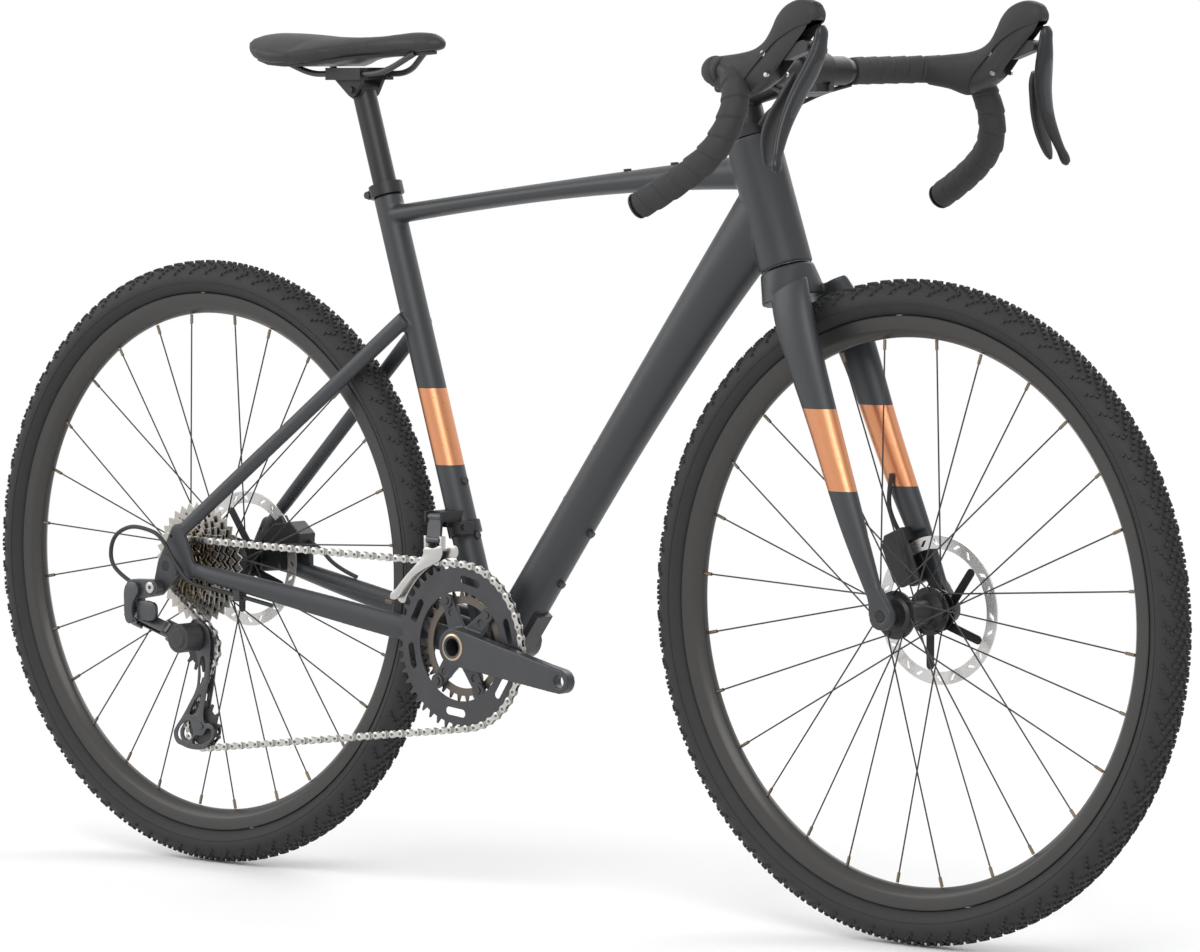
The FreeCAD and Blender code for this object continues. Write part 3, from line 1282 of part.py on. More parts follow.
def caliper(node, axle, outline, pad_angle, rotor_side, host, mounting=()):
    """Caliper body with room for the rotor, cut to sit on its host, and its two pads."""
    face = rotor_thickness / 2 + pad_gap
    room = face + pad_thickness + pad_gap
    body = slab([(axle.x + x, axle.z + z) for x, z in outline], rotor_side - 12, rotor_side + 15)
    body = fused([body] + list(mounting)) if mounting else body
    body = body.cut(across(axle.x, axle.z, rotor_side - room, rotor_side + room, rotor_radius + 1.5))
    for solid in host:
        body = body.cut(solid)
    keep(node + "_caliper", [largest(body)])
    low, high = pad_circle - 9.5, pad_circle + 9
    for side, name in ((-1, "_pad_inner"), (1, "_pad_outer")):
        y_range = sorted((rotor_side + side * face, rotor_side + side * (face + pad_thickness)))
        pad = slab([(-12, low), (12, low), (13, high), (-13, high)], y_range[0], y_range[1])
        pad.rotate(vec(0, 0, 0), side_left, 90 - pad_angle)
        pad.translate(vec(axle.x, 0, axle.z))
        keep(node + name, [pad])


def brakes_and_axles(frame_solids, fork_solid):
    down = vec(0.4, 0, -0.92)
    back = vec(-0.92, 0, -0.4)
    outline = []
    for along, behind in ((30, -16), (-30, -16), (-30, 10), (-20, 18), (20, 18), (30, 10)):
        point = vec(-44, 0, 54) + down * along + back * behind
        outline.append((point.x, point.z))
    caliper("front", front, outline, front_pad_angle, front_rotor_side, [fork_solid])
    low, high = rear_rotor_side + 7, rear_rotor_side + 15
    foot = block(rear.x + 46, rear.x + 94, low, high, rear.z - 12, rear.z + 30)
    outline = [(38, 20), (95, 12), (97, 34), (80, 48), (54, 44), (40, 33)]
    caliper("rear", rear, outline, rear_pad_angle, rear_rotor_side, frame_solids, [foot])
    fork_face = front_spacing / 2 + fork_end_thickness
    axle = across(front.x, front.z, -fork_face + 0.5, fork_face, axle_radius)
    keep("front_axle", [axle.fuse(across(front.x, front.z, fork_face, fork_face + 4, axle_radius + 3))])
    frame_face = rear_spacing / 2 + dropout_thickness
    axle = across(rear.x, rear.z, hanger_outer, frame_face, axle_radius)
    keep("rear_axle", [axle.fuse(across(rear.x, rear.z, frame_face, frame_face + 4, axle_radius + 3))])


def cables(bar_centre):
    """Outer cables and hoses, each held along its way by what it belongs to."""
    loop = [place(150, -57.5, 316.0), place(103, -63, 325.0), place(62, -71, 332.0), place(40, -83, 337.0),
            place(22, -89, 360.0), place(0, -89, 392.0), place(-52, -88, 397.0), place(-84, -89, 370.0),
            place(-51.6, -90, 335.6)]
    housing = bent_rod(loop, hose_radius)
    line = [place(178, 54.8, 343.3), place(142, 57, 353.0), place(114, 60, 374.0), place(96.7, 61, 380.0)]
    hose = bent_rod(line, hose_radius)
    keep("frame_cables", [housing, hose])
    leg_hose = bent_rod([place(993, 36.0, 500.0), place(988, 35.5, 472.0), place(992, 38.0, 452.0),
                         place(997.5, 42.0, 439.0)], hose_radius)
    drop = bar_clamp_radius + bar_hose_radius + 0.4
    under = bar_centre.z - drop
    cone_front = head_top + steer_up * 8 + steer_ahead * 27
    solids = [leg_hose]
    for offset in (0.0, 2 * bar_hose_radius + 0.6):
        x = bar_centre.x - offset
        line = [vec(x, -bar_clear - 14.4, under + 3), vec(x, -bar_clear + 3, under),
                vec(x - 8, -34, under - 5), vec(x - 22, -14 - offset, under - 16),
                cone_front + vec(6, -10 - offset, 10), cone_front + vec(-offset * 0.3, -9 - offset, 0)]
        cable = bent_rod(line, bar_hose_radius)
        solids += [cable, mirrored(cable)]
    keep("front_cables", solids)
    return housing


def fittings(frame_solids, housing):
    """Bolt heads on the tubes, collar and hanger bolts, cable port cover and housing clip."""
    def stud(point, outward):
        shape = rod(point - outward * 4, point + outward * 2.6, 4.5)
        for solid in frame_solids:
            shape = shape.cut(solid)
        return max(shape.Solids, key=lambda solid: solid.CenterOfMass.dot(outward))
    low = shell + vec(down_tube_ahead, 0, 0)
    run = head_low + steer_up * down_tube_up_head - low
    above = unit(run.cross(side_left))
    above = above * (1 if above.z > 0 else -1)
    solids = []
    for share in (0.30, 0.415):
        solids.append(stud(low + run * share + above * down_tube_radius, above))
    for share in (0.17, 0.285):
        solids.append(stud(low + run * share - above * down_tube_radius, above * -1))
    ahead = vec(math.sin(seat_lean), 0, math.cos(seat_lean))
    for up in (122.0, 186.0):
        solids.append(stud(shell + seat_up * up + ahead * seat_tube_radius, ahead))
    for share in top_tube_bolt_shares:
        solids.append(stud(top_tube_top(share), vec(-0.08, 0, 0.997)))
    near, far = (collar_bolt_place + side_left * (sign * collar_ear_half) for sign in (-1, 1))
    head = rod(near - side_left * 4, near, small_head_radius)
    solids.append(fused([rod(near, far, small_bolt_radius), head]))
    solids.append(across(rear.x + 17, rear.z - 6, hanger_outer - 1.8, hanger_outer, 4.0))
    under = above * (4 - down_tube_radius)
    port = prism(low + run * 0.02 + under, low + run * 0.10 + under, side_left, 13.0, 7.0)
    clip = block(place(98, 0, 0).x, place(108, 0, 0).x, -69, -57, 319, 336)
    clip = clip.cut(housing)
    for solid in frame_solids:
        port = port.cut(solid)
        clip = clip.cut(solid)
    solids += [min(port.Solids, key=lambda solid: solid.CenterOfMass.dot(above)), largest(clip)]
    keep("frame_fittings", solids)


frame_solids = frame_tubes() + rear_stays()
keep("frame", frame_solids)
collar_bolt_place = hanger_and_collar()
wheel("front", front, front_right_flange, front_left_flange,
      (-front_spacing / 2 + face_gap, front_spacing / 2 - face_gap), front_rotor_side, front_first_spoke)
wheel("rear", rear, rear_right_flange, rear_left_flange,
      (rear_right_flange - 4.9, rear_spacing / 2 - face_gap), rear_rotor_side, rear_first_spoke)

cage_angle, link_count = solve_cage()
course, guide_centre, tension_centre = chain_course(cage_angle)
rollers, phases = chain_points(course, link_count)
keep("chain", chain(rollers))
keep("cassette", cassette(phases[0]))
keep("chainrings", chainrings(phases[1]))
keep("tension_pulley", [pulley(tension_centre, phases[2])])
keep("guide_pulley", [pulley(guide_centre, phases[3])])
cranks()
rear_derailleur()
front_derailleur()
seat()
fork_body, bar_centre = steering_parts()
controls(bar_centre, handlebar(bar_centre))
brakes_and_axles(frame_solids, fork_body)
shift_housing = cables(bar_centre)
fittings(frame_solids, shift_housing)
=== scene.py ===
import bmesh
import bpy
import json
import math
import numpy as np
from mathutils import Matrix, Vector

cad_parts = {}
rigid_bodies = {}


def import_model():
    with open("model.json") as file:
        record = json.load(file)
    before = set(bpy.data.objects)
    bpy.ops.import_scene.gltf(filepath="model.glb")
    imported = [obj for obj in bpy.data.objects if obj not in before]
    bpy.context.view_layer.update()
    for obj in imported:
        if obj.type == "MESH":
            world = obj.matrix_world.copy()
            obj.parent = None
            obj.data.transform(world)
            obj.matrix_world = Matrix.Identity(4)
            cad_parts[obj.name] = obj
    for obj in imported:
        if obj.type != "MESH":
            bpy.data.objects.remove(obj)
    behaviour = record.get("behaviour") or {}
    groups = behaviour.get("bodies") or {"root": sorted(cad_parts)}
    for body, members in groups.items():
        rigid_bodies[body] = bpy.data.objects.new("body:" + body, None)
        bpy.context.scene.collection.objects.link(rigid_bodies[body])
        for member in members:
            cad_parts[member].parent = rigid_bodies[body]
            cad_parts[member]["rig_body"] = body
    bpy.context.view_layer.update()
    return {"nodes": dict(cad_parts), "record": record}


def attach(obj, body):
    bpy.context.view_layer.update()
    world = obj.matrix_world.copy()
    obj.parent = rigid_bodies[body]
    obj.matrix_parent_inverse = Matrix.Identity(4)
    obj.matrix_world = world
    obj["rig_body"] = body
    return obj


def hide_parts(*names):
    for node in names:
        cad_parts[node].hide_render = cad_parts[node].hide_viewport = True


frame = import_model()
scene = bpy.context.scene
scene.view_settings.view_transform = "Standard"
print("frame loaded:", len(frame["nodes"]), "nodes")

wheel = {"front": Vector((0.527, 0, 0.356)), "rear": Vector((-0.527, 0, 0.356))}  # middles of the axles
bottomBracket = Vector((-0.086527, 0, 0.286))
sideways = np.array((0.0, 1.0, 0.0))
fullTurn = 2 * math.pi


def feed(tree, target, value):  # a socket gets a link, or a value of its own
    if isinstance(value, Val):
        tree.links.new(value.socket, target)
    else:
        target.default_value = value


class Val:  # a shader socket that takes part in sums
    def __init__(self, tree, socket=None):
        self.tree = tree
        self.socket = socket

    def node(self, kind, settings=None, out=0, **sockets):  # sockets by name, or by place as i0, i1
        new = self.tree.nodes.new(kind)
        for key, value in (settings or {}).items():
            setattr(new, key, value)
        for key, value in sockets.items():
            place = int(key[1:]) if key[1:].isdigit() else key.replace("_", " ")
            feed(self.tree, new.inputs[place], value)
        return Val(self.tree, new.outputs[out])

    def maths(self, operation, *others):
        inputs = {"i%d" % i: one for i, one in enumerate((self,) + others)}
        return self.node("ShaderNodeMath", {"operation": operation}, **inputs)

    def __add__(self, other):
        return self.maths("ADD", other)

    def __sub__(self, other):
        return self.maths("SUBTRACT", other)

    def __rsub__(self, other):
        return self * -1 + other

    def __mul__(self, other):
        return self.maths("MULTIPLY", other)

    def __gt__(self, other):
        return self.maths("GREATER_THAN", other)

    def __lt__(self, other):
        return self.maths("LESS_THAN", other)

    __radd__ = __add__
    __rmul__ = __mul__

    def between(self, low, high):  # 1 between two values, 0 outside them
        return (self > low) * (self < high)

    def step(self, low, high):  # 0 below low, 1 above high, smooth between
        smooth = {"interpolation_type": "SMOOTHSTEP"}
        return self.node("ShaderNodeMapRange", smooth, i0=self, i1=low, i2=high)


def opaque(value):  # a colour gets its alpha, anything else stays
    return value + (1.0,) if isinstance(value, tuple) else value


class Finish:  # a material with its shader and its place on the object
    def __init__(self, name, **sockets):
        self.material = bpy.data.materials.new(name)
        self.material.use_nodes = True
        self.tree = self.material.node_tree
        self.shader = self.tree.nodes["Principled BSDF"]
        self.start = Val(self.tree)
        self.place = self.start.node("ShaderNodeTexCoord", out="Object")
        self.set(**sockets)

    def set(self, **sockets):
        for key, value in sockets.items():
            feed(self.tree, self.shader.inputs[key.replace("_", " ")], opaque(value))

    def axis(self, name):
        return self.start.node("ShaderNodeSeparateXYZ", out=name, i0=self.place)

    def noise(self, scale, detail=3.0):
        return self.start.node("ShaderNodeTexNoise", Vector=self.place, Scale=scale, Detail=detail)

    def cells(self, scale):
        return self.start.node("ShaderNodeTexVoronoi", Vector=self.place, Scale=scale)

    def mix(self, factor, first, second):  # i6 and i7 are the node's colour sockets
        return self.start.node("ShaderNodeMix", {"data_type": "RGBA"}, out=2,
                               i0=factor, i6=opaque(first), i7=opaque(second))

    def bump(self, height, strength, distance):
        normal = self.start.node("ShaderNodeBump", Strength=strength, Distance=distance, Height=height)
        self.set(Normal=normal)

    def radius(self, centre):  # distance from a wheel's line
        across = self.axis("X") - centre.x
        up = self.axis("Z") - centre.z
        return (across * across + up * up).maths("SQRT")


def tints(colour, shares):  # a darker and a lighter form of one colour
    return [tuple(c * share for c in colour) for share in shares]


paintSettings = {
    "fixed": {"Coat_Weight": 0.1, "Coat_Roughness": 0.45, "Specular_IOR_Level": 0.45},
    "colour": (0.025, 0.0275, 0.031), "tints": (0.72, 1.3), "tintSpan": (0.6, 1.25), "level": 0.79,
    "metal": 0.1, "rough": 0.44, "flake": 5200.0, "flakeShare": 0.3, "flakeBump": (0.06, 0.0002),
    "cloud": 14.0, "cloudShare": 0.12, "cloudRough": 0.08,
    "copper": (0.62, 0.27, 0.135), "wornCopper": (0.10, 0.055, 0.035), "bandMetal": 0.75, "bandRough": -0.14,
    "specks": 210.0, "speckSpan": (0.10, 0.16), "patches": 60.0, "patchSpan": (0.56, 0.60),
    "band": (0.4865, 0.5730), "seatAngle": 72.8, "near": 0.0185}


def seatTubeMask(finish):  # 1 on the seat tube, 0 on the other tubes
    s = paintSettings
    lean = math.radians(s["seatAngle"])
    ahead = finish.axis("X") - bottomBracket.x
    up = finish.axis("Z") - bottomBracket.z
    off = ahead * math.sin(lean) + up * math.cos(lean)
    return (off.maths("ABSOLUTE") < s["near"]) * (finish.axis("Y").maths("ABSOLUTE") < s["near"])


def paintFinish(name, seatTubeOnly):  # dark paint with fine flake, and a worn copper band at one height
    s = paintSettings
    finish = Finish(name, **s["fixed"])
    flake = finish.noise(s["flake"], detail=2.0)
    cloud = finish.noise(s["cloud"])
    shade = flake * s["flakeShare"] + cloud * s["cloudShare"] + s["level"]
    dark = finish.mix(shade.step(*s["tintSpan"]), *tints(s["colour"], s["tints"]))
    finish.bump(flake, *s["flakeBump"])
    band = finish.axis("Z").between(*s["band"])
    if seatTubeOnly:
        band = band * seatTubeMask(finish)
    specks = finish.cells(s["specks"]).step(*s["speckSpan"])
    patches = finish.noise(s["patches"], detail=4.0).step(*s["patchSpan"])
    copper = finish.mix(1 - (1 - specks) * patches, s["wornCopper"], s["copper"])
    rough = cloud * s["cloudRough"] + (s["rough"] - s["cloudRough"] / 2)
    finish.set(Base_Color=finish.mix(band, dark, copper), Metallic=band * s["bandMetal"] + s["metal"],
               Roughness=band * s["bandRough"] + rough)
    return finish.material


rubberSettings = {"shine": 0.4, "tints": (0.75, 1.25), "wide": 0.05, "fineRough": 0.16, "bump": 0.25}


def rubberFinish(name, colour, rough, grain, depth):
    s = rubberSettings
    finish = Finish(name, Specular_IOR_Level=s["shine"])
    fine = finish.noise(grain, detail=4.0)
    wide = finish.noise(grain * s["wide"], detail=2.0)
    finish.set(Base_Color=finish.mix(0.5 * wide + 0.5 * fine, *tints(colour, s["tints"])),
               Roughness=fine * s["fineRough"] + (rough - s["fineRough"] / 2))
    finish.bump(fine, s["bump"], depth)
    return finish.material


metalSettings = {"tints": (0.84, 1.16), "wide": 35.0, "fineRough": 0.12, "wideRough": 0.06,
                 "bump": (0.05, 0.0001)}


def metalFinish(name, colour, rough, metallic=1.0, grain=900.0):
    s = metalSettings
    finish = Finish(name, Metallic=metallic)
    fine = finish.noise(grain)
    wide = finish.noise(s["wide"], detail=2.0)
    level = rough - (s["fineRough"] + s["wideRough"]) / 2
    finish.set(Base_Color=finish.mix(wide, *tints(colour, s["tints"])),
               Roughness=fine * s["fineRough"] + wide * s["wideRough"] + level)
    finish.bump(fine, *s["bump"])
    return finish.material


framePaint = paintFinish("matte_frame_paint", seatTubeOnly=True)
forkPaint = paintFinish("matte_fork_paint", seatTubeOnly=False)
blackAlloy = metalFinish("black_anodised", (0.030, 0.030, 0.032), 0.42, 0.6)
greyAlloy = metalFinish("dark_grey_anodised", (0.085, 0.087, 0.092), 0.38, 0.7)
silverAlloy = metalFinish("bright_alloy", (0.50, 0.49, 0.47), 0.30)
platedSteel = metalFinish("plated_steel", (0.46, 0.45, 0.42), 0.32)
blackSteel = metalFinish("blackened_steel", (0.075, 0.072, 0.070), 0.40, 0.8)
hoodRubber = rubberFinish("hood_rubber", (0.022, 0.022, 0.023), 0.62, 1500.0, 0.0003)
tapeRubber = rubberFinish("bar_tape_foam", (0.026, 0.026, 0.027), 0.68, 900.0, 0.00005)
hosePlastic = rubberFinish("hose_sleeve", (0.020, 0.020, 0.021), 0.45, 700.0, 0.0001)
satinPlastic = rubberFinish("satin_plastic", (0.028, 0.028, 0.030), 0.42, 1100.0, 0.0001)

crankLook = {
    "fixed": {"Coat_Weight": 0.15, "Coat_Roughness": 0.35}, "fine": 1500.0, "wide": 30.0,
    "greys": ((0.040, 0.042, 0.046), (0.056, 0.058, 0.063)), "metal": 0.55, "rough": 0.36, "fineRough": 0.1,
    "ring": (0.0128, 0.0152), "face": -0.0641, "bronze": (0.50, 0.36, 0.24),
    "ringMetal": 0.4, "ringRough": -0.14}


def crankFinish():  # forged grey arm with a bronze ring round the spindle's end
    s = crankLook
    finish = Finish("forged_grey_arm", **s["fixed"])
    ring = finish.radius(bottomBracket).between(*s["ring"]) * (finish.axis("Y") < s["face"])
    fine = finish.noise(s["fine"])
    grey = finish.mix(finish.noise(s["wide"], detail=2.0), *s["greys"])
    finish.set(Base_Color=finish.mix(ring, grey, s["bronze"]), Metallic=ring * s["ringMetal"] + s["metal"],
               Roughness=fine * s["fineRough"] + ring * s["ringRough"] + s["rough"])
    finish.bump(fine, *metalSettings["bump"])
    return finish.material


ringLook = {"metal": 0.7, "greys": ((0.052, 0.052, 0.056), (0.074, 0.073, 0.077)), "wide": 40.0,
            "innerFrom": -0.0462, "brown": (0.13, 0.11, 0.095),
            "lathe": 3200.0, "latheRough": 0.03, "wideRough": 0.06, "rough": 0.36}


def ringFinish():  # grey outer ring, browner teeth on the inner one
    s = ringLook
    finish = Finish("chainring_grey", Metallic=s["metal"])
    lathe = (finish.radius(bottomBracket) * s["lathe"]).maths("SINE")
    wide = finish.noise(s["wide"], detail=2.0)
    colour = finish.mix(finish.axis("Y") > s["innerFrom"], finish.mix(wide, *s["greys"]), s["brown"])
    finish.set(Base_Color=colour, Roughness=lathe * s["latheRough"] + wide * s["wideRough"] + s["rough"])
    return finish.material


rotorLook = {"metal": 0.9, "trackFrom": (0.0655, 0.0662), "carrier": (0.03, 0.03, 0.032),
             "track": (0.60, 0.59, 0.58), "lathe": 2600.0, "latheRough": 0.04, "trackRough": -0.14,
             "rough": 0.44}


def rotorFinish(name, centre):  # dark carrier, bright track where the pads run
    s = rotorLook
    finish = Finish(name, Metallic=s["metal"])
    r = finish.radius(centre)
    track = r.step(*s["trackFrom"])
    lathe = (r * s["lathe"]).maths("SINE")
    finish.set(Base_Color=finish.mix(track, s["carrier"], s["track"]),
               Roughness=track * s["trackRough"] + lathe * s["latheRough"] + s["rough"])
    return finish.material


cassetteLook = {"metal": 1.0, "smallUpTo": -0.0450, "large": (0.46, 0.44, 0.41), "wear": 160.0,
                "small": ((0.30, 0.25, 0.19), (0.50, 0.45, 0.37)), "wearRough": 0.16, "rough": 0.2}


def cassetteFinish():  # bright large cogs, browner small ones
    s = cassetteLook
    finish = Finish("cassette_plating", Metallic=s["metal"])
    wear = finish.noise(s["wear"])
    tint = finish.mix(wear, *s["small"])
    finish.set(Base_Color=finish.mix(finish.axis("Y") < s["smallUpTo"], s["large"], tint),
               Roughness=wear * s["wearRough"] + s["rough"])
    return finish.material


# the edge colour is painted shade where the rim meets the tyre
rimLook = {"fixed": {"Metallic": 0.35, "Coat_Weight": 0.1}, "fine": 1400.0, "edgeFrom": (0.3155, 0.3165),
           "blacks": ((0.030, 0.029, 0.028), (0.044, 0.042, 0.040)), "edge": (0.015, 0.015, 0.015),
           "fineRough": 0.1, "rough": 0.36}


def rimFinish(name, centre):  # black, with painted shade at the edge beside the tyre
    s = rimLook
    finish = Finish(name, **s["fixed"])
    fine = finish.noise(s["fine"])
    # painted shade on the rim's edge beside the tyre
    edge = finish.radius(centre).step(*s["edgeFrom"])
    finish.set(Base_Color=finish.mix(edge, finish.mix(fine, *s["blacks"]), s["edge"]),
               Roughness=fine * s["fineRough"] + s["rough"])
    return finish.material


spokeLook = {"metal": 0.85, "nippleFrom": (0.2815, 0.2825), "spoke": (0.055, 0.054, 0.055), "wear": 500.0,
             "nipples": ((0.16, 0.12, 0.085), (0.26, 0.20, 0.14)), "wearRough": 0.1, "rough": 0.3}


def spokeFinish(name, centre):  # black spokes with brown nipples at the rim
    s = spokeLook
    finish = Finish(name, Metallic=s["metal"])
    nipple = finish.radius(centre).step(*s["nippleFrom"])
    wear = finish.noise(s["wear"])
    finish.set(Base_Color=finish.mix(nipple, s["spoke"], finish.mix(wear, *s["nipples"])),
               Roughness=wear * s["wearRough"] + s["rough"])
    return finish.material


nodeFinish = {
    "frame": framePaint, "fork": forkPaint, "derailleur_hanger": framePaint,
    "chain": platedSteel, "cassette": cassetteFinish(), "chainrings": ringFinish(),
    "front_derailleur_cage": silverAlloy, "front_derailleur_link": greyAlloy, "headset_bearings": platedSteel,
    "frame_fittings": satinPlastic, "stem_bolts": blackSteel, "saddle_rails": blackSteel,
    "frame_cables": hosePlastic, "front_cables": hosePlastic, "bar_tape": tapeRubber,
    "lever_hoods": hoodRubber, "saddle_cover": hoodRubber, "saddle_base": satinPlastic,
    "guide_pulley": satinPlastic, "tension_pulley": satinPlastic, "rear_derailleur_p_knuckle": satinPlastic,
    "rear_derailleur_knuckle": greyAlloy, "rear_derailleur_outer_link": greyAlloy}
for end in wheel:
    nodeFinish[end + "_rotor"] = rotorFinish(end + "_rotor_steel", wheel[end])
    nodeFinish[end + "_rim"] = rimFinish(end + "_rim_black", wheel[end])
    nodeFinish[end + "_spokes"] = spokeFinish(end + "_spoke_black", wheel[end])
    nodeFinish[end + "_tyre"] = hoodRubber
for side in ("right", "left"):
    nodeFinish["brake_lever_" + side] = greyAlloy
    nodeFinish["shift_paddle_" + side] = satinPlastic
    nodeFinish["lever_carrier_" + side] = satinPlastic
nodeFinish["crank_right"] = nodeFinish["crank_left"] = crankFinish()


def finishOf(name):
    return nodeFinish.get(name, blackAlloy)


for name, node in frame["nodes"].items():
    node.data.materials.clear()
    node.data.materials.append(finishOf(name))
print("finishes on", len(frame["nodes"]), "nodes")


def meshObject(name, points, faces):
    mesh = bpy.data.meshes.new(name)
    mesh.from_pydata([tuple(p) for p in points], [], faces)
    mesh.validate()
    return bpy.data.objects.new(name, mesh)


cameraSettings = {"place": (4.4851, -4.9818, 0.9434), "yaw": 41.486, "pitch": -3.961, "roll": -0.229,
                  "lens": 179.74, "sensor": 36.0, "far": 60.0}


def addCamera():
    s = cameraSettings
    yaw, pitch, roll = (math.radians(s[k]) for k in ("yaw", "pitch", "roll"))
    ahead = Vector((-math.sin(yaw) * math.cos(pitch), math.cos(yaw) * math.cos(pitch), math.sin(pitch)))
    level = Vector((math.cos(yaw), math.sin(yaw), 0))
    upright = level.cross(ahead)
    right = level * math.cos(roll) + upright * math.sin(roll)
    up = upright * math.cos(roll) - level * math.sin(roll)
    data = bpy.data.cameras.new("photo_camera")
    data.lens = s["lens"]
    data.sensor_width = s["sensor"]
    data.clip_end = s["far"]
    camera = bpy.data.objects.new("photo_camera", data)
    turn = Matrix((right, up, -ahead)).transposed()
    camera.matrix_world = Matrix.Translation(s["place"]) @ turn.to_4x4()
    scene.collection.objects.link(camera)
    scene.camera = camera


stageSettings = {
    "half": 14.0, "drop": 0.0005, "fade": (0.9, 2.4), "world": 0.75, "lampSize": 3.0, "aim": (0, 0, 0.5),
    "floor": {"Base_Color": (0.93, 0.93, 0.93), "Roughness": 0.9, "Specular_IOR_Level": 0.1},
    "lamps": {"key": ((2.6, -3.4, 3.6), 120.0), "fill": ((-3.4, -2.6, 2.4), 60.0),
              "back": ((-0.5, 3.6, 3.0), 60.0)}}


def seenRays(start):  # 1 where the backdrop is looked at, straight, mirrored or through glass
    rays = start.node("ShaderNodeLightPath").socket.node.outputs
    straight, mirrored, through = (Val(start.tree, rays["Is %s Ray" % kind])
                                   for kind in ("Camera", "Glossy", "Transmission"))
    return (straight + mirrored + through).maths("MINIMUM", 1.0)


def addFloor():  # pale under the object, plain white further off
    s = stageSettings
    corners = [(x * s["half"], y * s["half"], -s["drop"]) for x, y in ((-1, -1), (1, -1), (1, 1), (-1, 1))]
    floor = meshObject("floor", corners, [(0, 1, 2, 3)])
    scene.collection.objects.link(floor)
    finish = Finish("floor_pale", **s["floor"])
    x, y = finish.axis("X"), finish.axis("Y")
    far = (x * x + y * y).maths("SQRT").step(*s["fade"])
    white = finish.start.node("ShaderNodeEmission", Color=(1, 1, 1, 1), Strength=1.0)
    lit = Val(finish.tree, finish.shader.outputs[0])
    both = finish.start.node("ShaderNodeMixShader", i0=far * seenRays(finish.start), i1=lit, i2=white)
    feed(finish.tree, finish.tree.nodes["Material Output"].inputs["Surface"], both)
    floor.data.materials.append(finish.material)


def addLight():  # white surroundings, dimmer as light than as seen, and three lamps
    s = stageSettings
    world = bpy.data.worlds.new("studio")
    world.use_nodes = True
    scene.world = world
    background = world.node_tree.nodes["Background"]
    background.inputs["Color"].default_value = (1, 1, 1, 1)
    strength = s["world"] + (1.0 - s["world"]) * seenRays(Val(world.node_tree))
    feed(world.node_tree, background.inputs["Strength"], strength)
    for name, (place, power) in s["lamps"].items():
        data = bpy.data.lights.new(name, "AREA")
        data.size = s["lampSize"]
        data.energy = power
        lamp = bpy.data.objects.new(name, data)
        lamp.location = place
        lamp.rotation_euler = (Vector(s["aim"]) - Vector(place)).to_track_quat("-Z", "Y").to_euler()
        scene.collection.objects.link(lamp)


addCamera()
addFloor()
addLight()
print("camera and stage set")

replacedNodes = set()


def slotOf(name):
    return next(part["material_slot"] for part in frame["record"]["subparts"] if part["node"] == name)


def shaded(piece, angle):  # smooth, apart from edges sharper than the angle
    piece.data.shade_smooth()
    piece.data.set_sharp_from_angle(angle=math.radians(angle))


def dress(piece, body, finish, replaced, slotName, smooth=None):  # a piece gets its finish and body
    scene.collection.objects.link(piece)
    piece.data.materials.clear()
    piece.data.materials.append(finish)
    if smooth:
        shaded(piece, smooth)
    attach(piece, body)
    if replaced:
        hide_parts(*replaced)
        replacedNodes.update(replaced)
    return piece


def addPiece(name, form, body, finish, replaced, slotName, smooth=None):
    return dress(meshObject(name, *form), body, finish, replaced, slotName, smooth)


def addOnNode(node, ending, form, finish, smooth, replaced=True):  # rides with a node or stands for it
    body = frame["nodes"][node]["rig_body"]
    outward(addPiece(node + ending, form, body, finish, (node,) if replaced else (), slotOf(node), smooth))


def welded(mesh):  # an editable form of the mesh, with points at one place made one
    form = bmesh.new()
    form.from_mesh(mesh)
    bmesh.ops.remove_doubles(form, verts=form.verts, dist=1e-6)
    return form


def outward(piece):  # all faces turned outwards
    form = welded(piece.data)
    bmesh.ops.recalc_face_normals(form, faces=form.faces)
    form.to_mesh(piece.data)
    form.free()


def applied(piece, kind, **settings):  # a modifier whose result becomes the mesh
    change = piece.modifiers.new(kind.lower(), kind)
    for key, value in settings.items():
        setattr(change, key, value)
    baked(piece)


def baked(piece):
    view = bpy.context.evaluated_depsgraph_get()
    mesh = bpy.data.meshes.new_from_object(piece.evaluated_get(view))
    old = piece.data
    piece.modifiers.clear()
    piece.data = mesh
    bpy.data.meshes.remove(old)


def remeshed(piece, voxel):
    applied(piece, "REMESH", mode="VOXEL", voxel_size=voxel, use_smooth_shade=True)


def meshPoints(mesh):
    return np.array([v.co for v in mesh.vertices])


def nodePoints(name):
    return meshPoints(frame["nodes"][name].data)


def middleOf(points):
    return (points.min(0) + points.max(0)) / 2


def unit(vector):
    return vector / np.linalg.norm(vector)


def around(count):  # even turns of a full circle
    return np.linspace(0, fullTurn, count, endpoint=False)


def rounded(power, turns):  # across and up of a circle drawn out towards a square
    c, d = np.cos(turns), np.sin(turns)
    out = (np.abs(c) ** power + np.abs(d) ** power) ** (-1 / power)
    return out * c, out * d


def joined(parts):  # several (points, faces) as one
    points, faces, base = [], [], 0
    for some, corners in parts:
        points.append(np.asarray(some, float))
        faces += [tuple(base + i for i in face) for face in corners]
        base += len(some)
    return np.concatenate(points), faces


def shifted(form, offset):
    return form[0] + np.array(offset), form[1]


def skin(rings):  # closed form over rings of the same count
    rings = np.array(rings)
    count, sides = rings.shape[:2]
    faces = [tuple(reversed(range(sides))), tuple((count - 1) * sides + i for i in range(sides))]
    for i in range(count - 1):
        for j in range(sides):
            k = (j + 1) % sides
            faces.append((i * sides + j, i * sides + k, (i + 1) * sides + k, (i + 1) * sides + j))
    return rings.reshape(-1, 3), faces


def drum(y0, y1, radius, sides):  # a short round bar across the bike
    return skin([[(radius * math.cos(a), y, radius * math.sin(a)) for a in around(sides)] for y in (y0, y1)])


